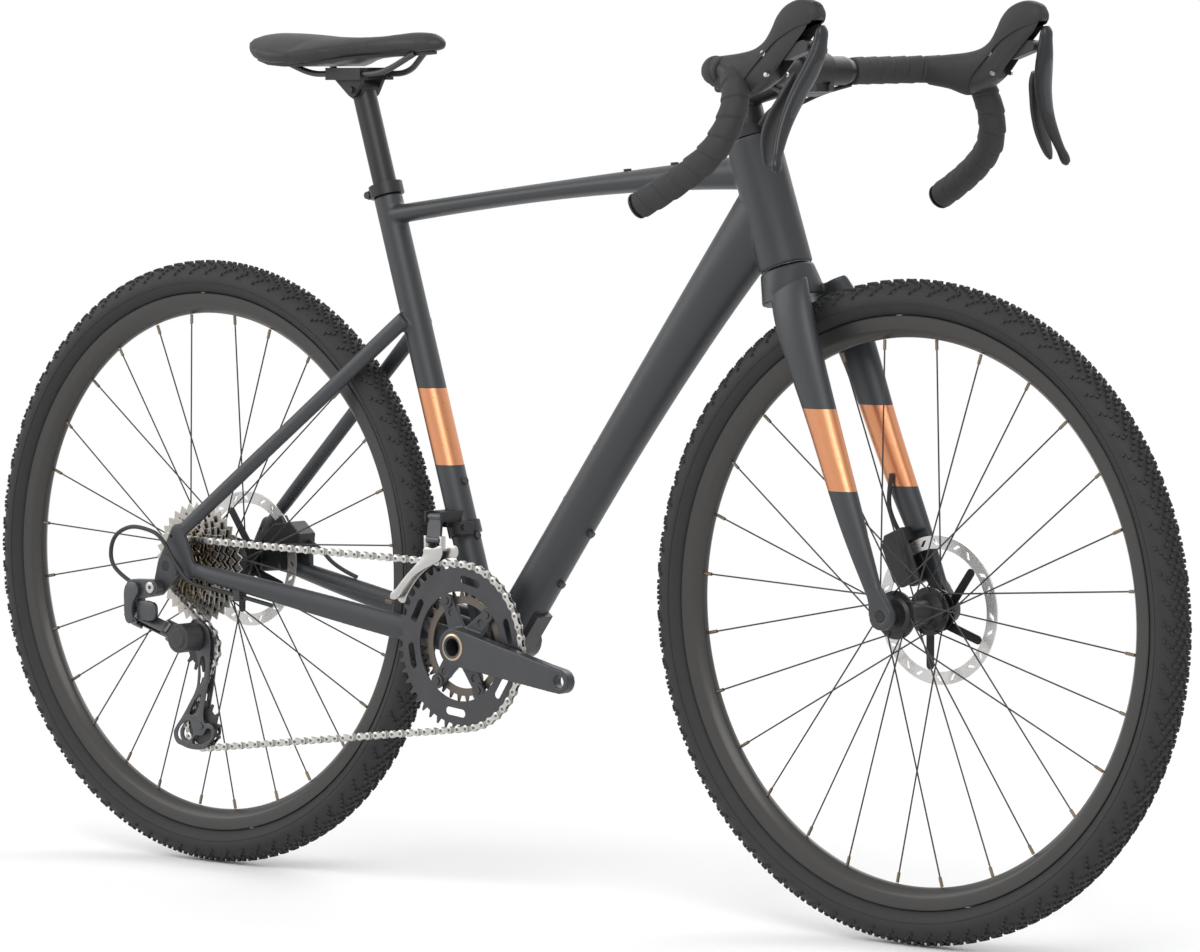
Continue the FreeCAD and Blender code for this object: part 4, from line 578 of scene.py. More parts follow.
def turnedForm(profile, centre, segments):  # closed profile of (radius, side) turned about a wheel's line
    angles = around(segments)
    rims = np.array(profile)
    count = len(rims)
    points = np.empty((segments, count, 3))
    points[:, :, 0] = centre.x + np.cos(angles)[:, None] * rims[None, :, 0]
    points[:, :, 1] = rims[None, :, 1]
    points[:, :, 2] = centre.z + np.sin(angles)[:, None] * rims[None, :, 0]
    faces = []
    for i in range(segments):
        for j in range(count):
            k, m = (i + 1) % segments, (j + 1) % count
            faces.append((i * count + j, i * count + m, k * count + m, k * count + j))
    return points.reshape(-1, 3), faces


def routeCurve(name, controls, resolution):  # smooth curve that the points pull along
    curve = bpy.data.curves.new(name, "CURVE")
    curve.dimensions = "3D"
    curve.resolution_u = resolution
    spline = curve.splines.new("NURBS")
    spline.points.add(len(controls) - 1)
    for point, control in zip(spline.points, controls):
        point.co = (*control, 1.0)
    spline.order_u = 3
    spline.use_endpoint_u = True
    return curve


def curvePath(name, controls, count):  # evenly spaced places on such a curve, and its length
    curve = routeCurve(name, controls, resolution=32)
    holder = bpy.data.objects.new(name, curve)
    mesh = bpy.data.meshes.new_from_object(holder)
    line = meshPoints(mesh)
    bpy.data.objects.remove(holder)
    bpy.data.curves.remove(curve)
    bpy.data.meshes.remove(mesh)
    run = np.concatenate([[0], np.cumsum(np.linalg.norm(np.diff(line, axis=0), axis=1))])
    where = np.linspace(0, run[-1], count)
    return np.stack([np.interp(where, run, line[:, k]) for k in range(3)], axis=1), run[-1]


def carried(line, start):  # two directions across a line, carried along it without twist
    ahead = np.gradient(line, axis=0)
    ahead /= np.linalg.norm(ahead, axis=1)[:, None]
    sides = np.empty_like(line)
    side = np.array(start, float)
    for i, t in enumerate(ahead):
        side = unit(side - t * side.dot(t))
        sides[i] = side
    return sides, np.cross(ahead, sides)


def tube(line, radii, sides, start=(0, 0, 1)):  # radii: one per place, or one per place and side
    first, second = (some[:, None, :] for some in carried(line, start))
    angles = around(sides)[None, :, None]
    radii = np.broadcast_to(np.asarray(radii, float).reshape(len(line), -1), (len(line), sides))
    return skin(line[:, None, :] + radii[:, :, None] * (np.cos(angles) * first + np.sin(angles) * second))


def smoothRows(table, count, power=1.0):  # rows of a table read at even steps, eased between them
    table = np.array(table, float)
    gaps = np.linalg.norm(np.diff(table[:, :3], axis=0), axis=1)
    at = np.concatenate([[0], np.cumsum(gaps ** power)])
    slope = np.gradient(table, at, axis=0)
    rows = []
    for t in np.linspace(0, at[-1], count):
        i = min(np.searchsorted(at, t, side="right") - 1, len(at) - 2)
        h = at[i + 1] - at[i]
        u = (t - at[i]) / h
        a, b = 2 * u ** 3 - 3 * u ** 2 + 1, u ** 3 - 2 * u ** 2 + u  # shares of the row before and its slope
        c, d = -2 * u ** 3 + 3 * u ** 2, u ** 3 - u ** 2  # and of the row after
        rows.append(a * table[i] + b * h * slope[i] + c * table[i + 1] + d * h * slope[i + 1])
    return np.array(rows)


tyreSettings = {
    "crown": 0.3530, "middle": 0.3340, "half": 0.0217, "foot": 0.3178, "footHalf": 0.0121, "bulge": 0.85,
    "segments": 240, "upperSteps": 21, "lowerSteps": 7,
    "lineDrop": 0.0040, "lineIn": 0.0008, "lineHigh": 0.0006, "lineOut": 0.0008, "lineSides": 6,
    "rows": 248, "pitch": 0.0062, "lean": 0.45, "corners": 8, "cornerTurn": 0.3, "sink": 0.0012,
    "knob": 0.0026, "knobTop": 0.82, "knobHeight": 0.0029, "knobFall": 0.03,
    "shoulder": (0.0152, 0.0178, 0.0200), "shoulderEvery": 3, "shoulderStep": 0.55, "shoulderBase": 0.92,
    "shoulderTop": 0.7, "shoulderHeight": 0.0024,
    "hairs": 260, "hairBand": (0.0145, 0.0205), "hairHeight": (0.002, 0.0038), "hairBase": 0.0003,
    "hairTop": 0.0001, "hairCorners": 3, "hairSeed": 7}


def tyrePlace(side):  # radius and outward direction of the casing at a distance from its middle line
    s = tyreSettings
    turn = np.arcsin(np.clip(side / s["half"], -1, 1))
    rise = s["crown"] - s["middle"]
    out = unit(np.array([np.cos(turn) / rise, np.sin(turn) / s["half"]]))
    return s["middle"] + rise * np.cos(turn), out


def stud(centre, angle, side, base, top, height, corners):  # one knob standing on the casing
    s = tyreSettings
    radius, out = tyrePlace(side)
    radial = np.array([math.cos(angle), 0, math.sin(angle)])
    normal = radial * out[0] + sideways * out[1]
    along = np.array([-math.sin(angle), 0, math.cos(angle)])
    beside = np.cross(normal, along)
    foot = np.array(centre) + radial * radius + sideways * side
    turns = around(corners)[:, None] + s["cornerTurn"]
    ring = np.cos(turns) * along + np.sin(turns) * beside
    return skin([foot + normal * lift + size * ring for size, lift in ((base, -s["sink"]), (top, height))])


def tyreCasing(centre):  # casing with a fine raised line on each side
    s = tyreSettings
    quarter = math.pi / 2
    across = s["half"] * np.sin(np.linspace(-quarter, quarter, s["upperSteps"]))
    upper = [(tyrePlace(y)[0], y) for y in across]
    lower = []
    for u in np.linspace(0, 1, s["lowerSteps"])[1:]:
        r = s["middle"] - (s["middle"] - s["foot"]) * u
        lower.append((r, s["footHalf"] + (s["half"] - s["footHalf"]) * math.cos(u * quarter) ** s["bulge"]))
    profile = upper + lower + [(r, -y) for r, y in reversed(lower)]
    parts = [turnedForm(profile, centre, s["segments"])]
    for sign in (-1, 1):
        line = [(s["middle"] - s["lineDrop"] + s["lineHigh"] * math.cos(a),
                 sign * (s["half"] - s["lineIn"] + s["lineOut"] * math.sin(a)))
                for a in around(s["lineSides"])]
        parts.append(turnedForm(line, centre, s["segments"]))
    return parts


def tyreKnobs(centre):  # staggered rows over the crown, with groups on the shoulders
    s = tyreSettings
    step = fullTurn / s["rows"]
    knob = s["knob"]
    parts = []
    for i in range(s["rows"]):
        for share in ((0, 1, 2) if i % 2 else (0.5, 1.5)):
            y = s["pitch"] * share
            angle = i * step + y * s["lean"] / s["crown"] * 2
            height = s["knobHeight"] - y * s["knobFall"]
            for sign in ((-1, 1) if share else (1,)):
                parts.append(stud(centre, angle, sign * y, knob, knob * s["knobTop"], height, s["corners"]))
        for k, y in enumerate(s["shoulder"] if i % s["shoulderEvery"] == 0 else ()):
            angle = (i + k * s["shoulderStep"]) * step
            for sign in (-1, 1):
                parts.append(stud(centre, angle, sign * y, knob * s["shoulderBase"], knob * s["shoulderTop"],
                                  s["shoulderHeight"], s["corners"]))
    return parts


def tyreHairs(centre):  # moulding hairs left on the shoulders
    s = tyreSettings
    random = np.random.default_rng(s["hairSeed"])
    parts = []
    for i in range(s["hairs"]):
        y = random.uniform(*s["hairBand"]) * (1 if i % 2 else -1)
        angle = random.uniform(0, fullTurn)
        height = random.uniform(*s["hairHeight"])
        parts.append(stud(centre, angle, y, s["hairBase"], s["hairTop"], height, s["hairCorners"]))
    return parts


def makeTyre(end):
    centre = wheel[end]
    form = joined(tyreCasing(centre) + tyreKnobs(centre) + tyreHairs(centre))
    node = end + "_tyre"
    addPiece(node + "_knobbed", form, end + "_wheel", tyreRubber, (node,), "tyre_rubber", smooth=50)


rimSettings = {
    "edge": 0.3175, "low": 0.2935, "half": 0.0133, "wall": 0.0018, "lip": 0.0006, "segments": 240,
    "flank": ((0.013, 0.0002), (0.0165, 0.0014)),  # below the edge, in from the side
    "foot": ((0.0040, 0.0058), (0.0012, 0.0085), (0.0, 0.0112)),  # over the lowest place, in from the side
    "bed": ((0.306, 0.007), (0.311, 0.003), (0.311, 0.0))}  # radius, in from the wall


def makeRim(end):
    s = rimSettings
    edge, lip, half = s["edge"], s["lip"], s["half"]
    inside = half - s["wall"]
    right = [(edge - lip, -half)] + [(edge - down, -half + inset) for down, inset in s["flank"]]
    right += [(s["low"] + up, -half + inset) for up, inset in s["foot"]]
    bed = [(r, -inside + inset) for r, inset in s["bed"]]
    bed += [(edge - lip, -inside), (edge, -inside - lip), (edge, -half + lip)]
    profile = right + [(r, -y) for r, y in reversed(right)] + [(r, -y) for r, y in reversed(bed)] + bed
    form = turnedForm(profile, wheel[end], s["segments"])
    node = end + "_rim"
    addPiece(node + "_turned", form, end + "_wheel", finishOf(node), (node,), "black_alloy", smooth=40)


tyreRubber = rubberFinish("tyre_rubber", (0.018, 0.018, 0.019), 0.66, 1300.0, 0.0003)
for end in wheel:
    makeTyre(end)
    makeRim(end)
print("tyres and rims made")


def fromAxle(x, y, z):  # millimetres ahead of the rear axle, to the left and over the ground
    return ((x + 1000.0 * wheel["rear"].x) / 1000.0, y / 1000.0, z / 1000.0)


barSettings = {
    "line": (  # side, x, z
        (182, 911, 933), (200, 978, 934), (222, 990, 880), (243, 960, 828), (255, 886, 792)),
    "start": 0.070, "neck": 0.056, "clamped": 0.058, "radius": 0.0119, "clamp": 0.0159,
    "places": 160, "middlePlaces": 41, "sides": 40, "plug": 0.0142,
    "plugRows": (  # beyond the tip, inwards
        (-0.0005, 0.0), (0.0008, 0.0), (0.0020, 0.0008), (0.0027, 0.0026))}


def barCentre():  # middle of the clamped part of the bar
    points = nodePoints("handlebar")
    return middleOf(points[np.abs(points[:, 1]) < barSettings["clamped"]])


barMiddle = barCentre()


def barLine(sign, count):
    s = barSettings
    start = (barMiddle[0], sign * s["start"], barMiddle[2])
    return curvePath("bar_line", [start] + [fromAxle(x, sign * y, z) for y, x, z in s["line"]], count)


def makeBar():
    s = barSettings
    lines = {sign: barLine(sign, s["places"])[0] for sign in (-1, 1)}
    across = np.linspace(-s["start"], s["start"], s["middlePlaces"])[1:-1]
    centre = np.array([(barMiddle[0], y, barMiddle[2]) for y in across])
    bulge = np.interp(np.abs(across), (s["neck"], s["start"]), (s["clamp"], s["radius"]))
    plain = np.full(s["places"], s["radius"])
    line = np.concatenate([lines[-1][::-1], centre, lines[1]])
    parts = [tube(line, np.concatenate([plain, bulge, plain]), s["sides"])]
    for sign in (-1, 1):
        tip = lines[sign][-1]
        ahead = unit(tip - lines[sign][-2])
        cap = np.array([tip + ahead * beyond for beyond, inset in s["plugRows"]])
        parts.append(tube(cap, [s["plug"] - inset for beyond, inset in s["plugRows"]], s["sides"]))
    addPiece("handlebar_swept", joined(parts), "steering", blackAlloy, ("handlebar",), "black_alloy",
             smooth=40)


tapeSettings = {
    "radius": 0.0141, "step": 0.0013, "pitch": 0.0215, "places": 900, "sides": 40,
    "shares": ((0.0, 0.40), (0.45, 0.993)), "lap": 0.86, "lapPower": 0.7,
    "crease": 0.0005, "creaseAt": 0.99, "creaseWide": 0.03,
    "wave": 0.00012, "waveSides": 14, "waveRun": 300, "endLength": 0.002, "endRise": 0.0005}


def tapeRadii(run, sign):  # every turn lies over the edge of the one before
    s = tapeSettings
    turn = np.linspace(0, 1, s["sides"], endpoint=False)
    wind = (run[:, None] / s["pitch"] + sign * turn[None, :]) % 1.0
    lap = np.where(wind < s["lap"], wind / s["lap"], (1 - wind) / (1 - s["lap"]))
    late, early = (wind - s["creaseAt"]) / s["creaseWide"], wind / s["creaseWide"]
    crease = np.exp(-late ** 2) + np.exp(-early ** 2)
    wave = s["wave"] * np.sin(turn * s["waveSides"] * math.pi + run[:, None] * s["waveRun"])
    radii = s["radius"] + s["step"] * lap ** s["lapPower"] - s["crease"] * crease + wave
    ends = np.minimum(np.minimum(run - run[0], run[-1] - run) / s["endLength"], 1.0)
    lowest = barSettings["radius"] + s["endRise"]
    return lowest + (radii - lowest) * np.sqrt(ends)[:, None]


def makeTape():  # one strip wound along each half, with a gap where the hood sits
    s = tapeSettings
    parts = []
    for sign in (-1, 1):
        line, length = barLine(sign, s["places"])
        for first, last in s["shares"]:
            some = line[int(first * (s["places"] - 1)):int(last * (s["places"] - 1)) + 1]
            run = np.linspace(first, last, len(some)) * length
            parts.append(tube(some, tapeRadii(run, sign), s["sides"]))
    addPiece("bar_tape_wound", joined(parts), "steering", tapeRubber, ("bar_tape",), "grip_rubber", smooth=60)


hoodSettings = {  # places from the middle of the bar, in millimetres
    "rows": (  # upper x, side, upper z, lower x and z, half width, share of the height below the rubber
        (20, 182.5, 15.5, 26, -16.5, 16.5, 0.05), (45, 187, 17.5, 50, -21, 18.0, 0.05),
        (70, 191, 20, 74, -27.5, 19.5, 0.06), (81, 191, 22, 87, -25, 19.8, 0.36),
        (92, 191, 25.5, 100, -20, 19.6, 0.52), (106, 190.5, 35, 117, -8, 19.2, 0.60),
        (114, 190, 47, 133, 9, 18.6, 0.54), (119, 190, 58, 150, 25, 17.6, 0.42),
        (127, 190, 67, 164, 38, 16.5, 0.30), (140, 190, 73.5, 171, 48, 14.5, 0.14),
        (154, 190, 75.2, 174, 58, 11.5, 0.06), (164, 190, 72.5, 172, 66, 6.5, 0.05)),
    "count": 56, "upper": 34, "lower": 20, "square": 2.5, "edgeLimits": (-0.97, 0.9),
    "inset": 0.90, "bracketFrom": 0.24, "smooth": 48,
    "slot": ((113, -34), (203, -34), (203, 53), (163, 53), (113, 37)), "slotSides": (183.3, 200.7)}


def hoodPlace(x, y, z):
    return np.array((barMiddle[0] + x / 1000, y / 1000, barMiddle[2] + z / 1000))


def hoodRing(row, sign, first, last, count, inset):  # part of a section between two turns about its middle
    ux, y, uz, lx, lz, wide = row[:6]
    middleX, middleZ, upX, upZ = (ux + lx) / 2, (uz + lz) / 2, (ux - lx) / 2, (uz - lz) / 2
    across, up = rounded(hoodSettings["square"], np.linspace(first, last, count))
    places = [hoodPlace(middleX + upX * h, sign * (y + wide * w), middleZ + upZ * h)
              for w, h in zip(across * inset, up * inset)]
    return places if sign > 0 else places[::-1]


def makeHoods():  # rubber over a hard bracket, both open where the lever swings
    s = hoodSettings
    rows = smoothRows(s["rows"], s["count"])
    almostRound = fullTurn * (1 - 1 / s["lower"])
    rubber, body, slots = [], [], []
    for sign in (-1, 1):
        skins, shells = [], []
        for i, row in enumerate(rows):
            edge = math.asin(np.clip(2 * row[6] - 1, *s["edgeLimits"]))
            skins.append(hoodRing(row, sign, edge, math.pi - edge, s["upper"], 1.0))
            if i >= s["bracketFrom"] * s["count"]:
                shells.append(hoodRing(row, sign, 0, almostRound, s["lower"], s["inset"]))
        rubber.append(skin(skins))
        body.append(skin(shells))
        slots.append(skin([[hoodPlace(x, sign * y, z) for x, z in s["slot"]] for y in s["slotSides"]]))
    cutter = meshObject("lever_slots", *joined(slots))
    scene.collection.objects.link(cutter)
    outward(cutter)
    for name, parts, finish in (("lever_hoods_moulded", rubber, hoodRubber),
                                ("lever_brackets", body, satinPlastic)):
        piece = addPiece(name, joined(parts), "steering", finish, ("lever_hoods",), "grip_rubber")
        outward(piece)
        applied(piece, "BOOLEAN", operation="DIFFERENCE", solver="EXACT", object=cutter)
        shaded(piece, s["smooth"])
    bpy.data.objects.remove(cutter)


screwSettings = {  # places from the middle of the bar, in millimetres
    "screws": ((109, 19, 3.4), (113, -3, 2.6)), "middle": 191, "out": 16.4, "sides": 20,  # x, z, radius
    "rows": ((-2.0, 1.0), (1.2, 1.0), (1.7, 0.86), (1.75, 0.5))}  # outwards, share of the radius


def makeScrews():  # bright pivot screws in the sides of the brackets
    s = screwSettings
    parts = []
    for sign in (-1, 1):
        for x, z, radius in s["screws"]:
            radii = [radius * share / 1000 for out, share in s["rows"]]
            for side in (-1, 1):
                middle = s["middle"] + side * s["out"]
                line = np.array([hoodPlace(x, sign * (middle + side * out), z) for out, share in s["rows"]])
                parts.append(tube(line, radii, s["sides"], start=(1, 0, 0)))
    addPiece("bracket_screws", joined(parts), "steering", silverAlloy, (), "grip_rubber", smooth=40)


leverSettings = {  # places from the middle of the bar, in millimetres
    "rows": (  # x, side, z, half width, half thickness
        (173.5, 191, 47.5, 4.5, 2.6), (173.9, 191, 44.5, 6.4, 4.4), (172.6, 191.5, 32, 8.2, 6.4),
        (170.0, 193.5, 18, 10.2, 7.2), (165.0, 198, 2, 11.6, 7.2), (156.5, 209, -24, 11.2, 6.4),
        (152.6, 222, -50, 9.0, 5.2), (153.6, 233.5, -72, 7.0, 4.4), (156.0, 241, -87, 5.6, 4.2),
        (158.0, 245.5, -96.5, 6.0, 4.8), (158.8, 247, -101.0, 4.6, 3.8), (159.0, 247.6, -103.2, 2.0, 1.6)),
    "count": 60, "sides": 28, "square": 2.4, "smooth": 60,
    "panel": (0.20, 0.64), "panelWide": 0.60, "panelOut": 0.62, "panelThick": 0.46,
    "panelTip": 0.4, "panelEase": 3.0, "panelLeast": 0.05}  # rows over which the panel's ends narrow


def leverForm(rows, sign, spread=1.0, ahead=0.0, thick=1.0):
    s = leverSettings
    across, through = rounded(s["square"], around(s["sides"]))
    rings = []
    for (x, y, z, wide, deep), run in zip(rows, np.gradient(rows[:, :3], axis=0)):
        down = unit(run)
        side = unit(sideways - down * down[1])
        front = np.cross(side, down)
        front = front if front[0] > 0 else -front
        middle = np.array((x, y, z)) + front * deep * ahead
        ring = middle + np.outer(across * wide * spread, side) + np.outer(through * deep * thick, front)
        places = [hoodPlace(px, sign * py, pz) for px, py, pz in ring]
        rings.append(places if sign > 0 else places[::-1])
    return skin(rings)


def makeLevers():  # blade with a raised panel on its front
    s = leverSettings
    rows = smoothRows(s["rows"], s["count"])
    first, last = (int(share * s["count"]) for share in s["panel"])
    some = rows[first:last].copy()
    place = np.arange(len(some))
    fromEnd = np.minimum(place, place[::-1]) + s["panelTip"]
    some[:, 3] *= np.sqrt(np.clip(fromEnd / s["panelEase"], s["panelLeast"], 1.0))
    for sign, name in ((-1, "right"), (1, "left")):
        node = "brake_lever_" + name
        addOnNode(node, "_blade", leverForm(rows, sign), leverPaint, s["smooth"])
        panel = leverForm(some, sign, s["panelWide"], s["panelOut"], s["panelThick"])
        addOnNode(node, "_panel", panel, panelPaint, s["smooth"], replaced=False)


paddleSettings = {
    "rows": (  # x, side, z, half width, half thickness, as for the lever
        (147.9, 203, -1.5, 3.5, 2.6), (147.0, 204.5, -6, 6.0, 3.4), (141.5, 213, -27, 8.6, 3.0),
        (137.5, 225, -50, 12.0, 2.6), (137.0, 232.5, -68, 12.2, 2.4), (139.0, 237, -83, 9.6, 2.3),
        (141.0, 240, -93, 5.6, 2.0), (142.0, 241, -97, 2.2, 1.4)),
    "count": 44, "smooth": 60}


def makePaddles():
    s = paddleSettings
    rows = smoothRows(s["rows"], s["count"])
    for sign, name in ((-1, "right"), (1, "left")):
        addOnNode("shift_paddle_" + name, "_fin", leverForm(rows, sign), satinPlastic, s["smooth"])


saddleSettings = {
    "sections": (  # x, half width, top, widest height, bottom, in millimetres
        (108, 40, 977, 971, 965), (114, 54, 978.5, 967, 957), (128, 65, 979, 961, 949),
        (150, 71, 978, 957, 944), (175, 71, 976, 954, 942), (200, 65, 974, 955, 942),
        (220, 55, 973.5, 958, 945), (240, 43, 973.5, 961, 948.5), (260, 33, 974, 963, 951),
        (285, 25, 975.5, 965, 952.5), (315, 21, 977.5, 966, 953.5), (345, 18.5, 978, 966.5, 954.5),
        (360, 15.5, 976, 966, 955.5), (369, 11, 972, 964.5, 957), (373, 6, 968, 964, 960)),
    "start": 1.6,  # room left for the swelling, in millimetres
    "rows": 60, "rowPower": 0.7, "upper": 31, "lower": 13, "crown": 2.3, "tuck": 5.0, "leastFoot": 0.6,
    "flankOut": 0.3, "flankDown": 0.35, "footOut": 1.5, "footUp": 1.2,
    "voxel": 0.0042, "pressure": 4.0, "cap": 0.0026, "held": 0.012, "stiffness": 40, "frames": 20,
    "groove": 0.0026, "grooveHalf": 0.0075, "grooveDeep": 0.012,
    "grooveBack": (0.125, 0.03), "grooveFront": (0.325, 0.04)}  # ahead of the rear axle, run-out


def saddleRing(x, wide, top, middle, bottom):
    s = saddleSettings
    wide, top = wide - s["start"], top - s["start"]
    low = max(wide - s["tuck"], wide * s["leastFoot"])
    bow = np.linspace(-1, 1, s["upper"])
    upper = np.stack([bow * wide, middle + (top - middle) * (1 - np.abs(bow) ** s["crown"])], axis=1)
    flank = [(wide + s["flankOut"], middle - (middle - bottom) * s["flankDown"]),
             (low + s["footOut"], bottom + s["footUp"])]
    under = np.stack([np.linspace(low, -low, s["lower"]), np.full(s["lower"], bottom)], axis=1)
    outline = np.concatenate([upper, flank, under, [(-y, z) for y, z in reversed(flank)]])
    return [fromAxle(x, y, z) for y, z in outline]


def makeSaddle():
    s = saddleSettings
    form = skin([saddleRing(*row) for row in smoothRows(s["sections"], s["rows"], s["rowPower"])])
    shell = addPiece("saddle_cover_padded", form, "saddle", saddleSkin, ("saddle_cover",), "saddle_skin",
                     smooth=70)
    remeshed(shell, s["voxel"])
    pressed(shell)
    grooved(shell)
    applied(shell, "SUBSURF", levels=1, render_levels=1)
    shell.data.shade_smooth()


def pressed(piece):  # padding swells against its cover, each point by no more than the cap
    s = saddleSettings
    before = meshPoints(piece.data)
    bottom = before[:, 2] < before[:, 2].min() + s["held"]
    held = piece.vertex_groups.new(name="held")
    held.add([int(i) for i in np.nonzero(bottom)[0]], 1.0, "ADD")
    cloth = piece.modifiers.new("cloth", "CLOTH").settings
    cloth.use_pressure = True
    cloth.uniform_pressure_force = s["pressure"]
    cloth.vertex_group_mass = "held"
    cloth.effector_weights.gravity = 0
    cloth.tension_stiffness = s["stiffness"]
    cloth.compression_stiffness = s["stiffness"]
    for step in range(s["frames"]):
        scene.frame_set(step + 1)
    baked(piece)
    scene.frame_set(1)
    moved = meshPoints(piece.data) - before
    size = np.linalg.norm(moved, axis=1)[:, None]
    after = before + moved * np.minimum(1, s["cap"] / np.maximum(size, 1e-9))
    piece.data.vertices.foreach_set("co", after.ravel())


def grooved(piece):  # relief channel along the middle of the top
    s = saddleSettings
    points = meshPoints(piece.data)
    x = points[:, 0] - wheel["rear"].x
    sections = np.array(s["sections"], float)
    crown = np.interp(x * 1000, sections[:, 0], sections[:, 2]) / 1000
    near = np.clip(1 - (crown - points[:, 2]) / s["grooveDeep"], 0, 1)
    (back, backRun), (front, frontRun) = s["grooveBack"], s["grooveFront"]
    ends = np.clip((x - back) / backRun, 0, 1) * np.clip((front - x) / frontRun, 0, 1)
    points[:, 2] -= s["groove"] * np.exp(-(points[:, 1] / s["grooveHalf"]) ** 2) * near * ends
    piece.data.vertices.foreach_set("co", points.ravel())


leverPaint = metalFinish("lever_dark_grey", (0.024, 0.025, 0.027), 0.34, 0.45)
panelPaint = metalFinish("lever_panel_grey", (0.050, 0.053, 0.057), 0.34, 0.6)
saddleSkin = rubberFinish("saddle_cover", (0.022, 0.022, 0.023), 0.5, 800.0, 0.0003)
makeBar()
makeTape()
makeHoods()
makeScrews()
makeLevers()
makePaddles()
makeSaddle()
print("bar, tape, hoods, levers and saddle made")

chainSettings = {
    "pitch": 0.0127, "gap": 0.0011, "plate": 0.0008, "clear": 0.00005, "end": 0.0044, "waist": 0.0027,
    "endSteps": 9, "endTurn": 0.72, "edge": 0.3, "edgeShrink": 0.94,
    "roller": 0.00385, "rollerSides": 14, "rollerLargest": 0.009,
    "pin": 0.0017, "pinSides": 12, "pinOut": 0.0004}


def islands(name):  # lowest and highest corners of the separate solids of a node
    form = welded(frame["nodes"][name].data)
    seen, boxes = set(), []
    for first in form.verts:
        if first in seen:
            continue
        group, todo = [], [first]
        seen.add(first)
        while todo:
            here = todo.pop()
            group.append(here.co.copy())
            for edge in here.link_edges:
                there = edge.other_vert(here)
                if there not in seen:
                    seen.add(there)
                    todo.append(there)
        group = np.array(group)
        boxes.append((group.min(0), group.max(0)))
    form.free()
    return boxes


def rollerOrder():  # middles of the rollers, each next to the one before
    largest = chainSettings["rollerLargest"]
    left = [(low + high) / 2 for low, high in islands("chain") if (high - low).max() < largest]
    order = [left.pop(0)]
    while left:
        gaps = [np.linalg.norm(middle - order[-1]) for middle in left]
        order.append(left.pop(int(np.argmin(gaps))))
    return order


def linkPlate(y0, y1):  # waisted plate with softened edges, from one pin to the next
    s = chainSettings
    outline = []
    for centre, first in ((s["pitch"], -1), (0.0, 1)):
        for a in np.linspace(-s["endTurn"], s["endTurn"], s["endSteps"]) * math.pi:
            outline.append((centre - first * s["end"] * math.cos(a), -first * s["end"] * math.sin(a)))
        outline.append((s["pitch"] / 2, -first * s["waist"]))
    middle = np.array((s["pitch"] / 2, 0.0))
    edge = (y1 - y0) * s["edge"]
    rings = []
    for y, shrink in ((y0, s["edgeShrink"]), (y0 + edge, 1.0), (y1 - edge, 1.0), (y1, s["edgeShrink"])):
        rings.append([(x, y, z) for x, z in middle + (np.array(outline) - middle) * shrink])
    return skin(rings)


def chainForms():  # inner link with its rollers, outer link, and the pins of an outer link
    s = chainSettings
    near, middle = s["gap"], s["gap"] + s["plate"]
    low, high = middle + s["clear"], middle + s["plate"]
    reach = high + s["pinOut"]
    roller = drum(-near, near, s["roller"], s["rollerSides"])
    pin = drum(-reach, reach, s["pin"], s["pinSides"])
    rollers, pins = ([shifted(one, (x, 0, 0)) for x in (0.0, s["pitch"])] for one in (roller, pin))
    inner = [linkPlate(near, middle), linkPlate(-middle, -near)]
    outer = [linkPlate(low, high), linkPlate(-high, -low)]
    return joined(inner + rollers), joined(outer), joined(pins)


def makeChain():  # inner and outer links in turn along the run of rollers
    order = rollerOrder()
    inner, outer, pins = chainForms()
    kinds = ({"chain_inner_links": inner}, {"chain_outer_links": outer, "chain_pins": pins})
    placed = {name: [] for name in chainFinish}
    for i, here in enumerate(order):
        ahead = unit(order[(i + 1) % len(order)] - here)
        side = unit(sideways - ahead * ahead[1])
        turn = np.stack([ahead, side, np.cross(ahead, side)])
        for name, (points, faces) in kinds[i % 2].items():
            placed[name].append((points @ turn + here, faces))
    for name, finish in chainFinish.items():
        addPiece(name, joined(placed[name]), "frame", finish, ("chain",), "steel", smooth=40)
    print("chain of", len(order), "links")


chainFinish = {
    "chain_inner_links": metalFinish("chain_inner_steel", (0.34, 0.33, 0.31), 0.34, grain=420.0),
    "chain_outer_links": metalFinish("chain_steel", (0.52, 0.51, 0.49), 0.30, grain=420.0),
    "chain_pins": metalFinish("chain_pin_steel", (0.16, 0.145, 0.125), 0.36, grain=420.0)}
makeChain()

cordRoutes = {  # body, diameter, then millimetres ahead of the rear axle, to the left and over the ground
    "shift_housing": ("frame", 5.0, (150, -57.5, 316), (103, -63, 325), (62, -71, 332), (40, -83, 337),
                      (22, -89, 360), (0, -89, 392), (-26, -88.5, 399), (-54, -88, 401), (-81, -88.5, 388),
                      (-87, -89, 362), (-73, -90, 345), (-51.6, -90, 335.6)),
    "rear_hose": ("frame", 5.0, (178, 54.8, 343.3), (142, 57, 353), (114, 60, 374), (96.7, 61, 380)),
    "fork_hose": ("steering", 5.0, (993, 36, 500), (988, 35.5, 472), (992, 38, 452), (997.5, 42, 439)),
    "bar_cable_front": ("steering", 4.0, (909.1, -70.4, 916.5), (909.1, -53, 913.5), (901.1, -34, 908.5),
                        (887.1, -14, 897.5), (858.2, -10, 884.6), (852.2, -9, 874.6)),
    "bar_cable_back": ("steering", 4.0, (904.5, -70.4, 916.5), (904.5, -53, 913.5), (896.5, -34, 908.5),
                       (882.5, -18.6, 897.5), (858.2, -14.6, 884.6), (850.8, -13.6, 874.6))}
cordSettings = {"resolution": 24, "sideSteps": 5, "lengthPlaces": 200}


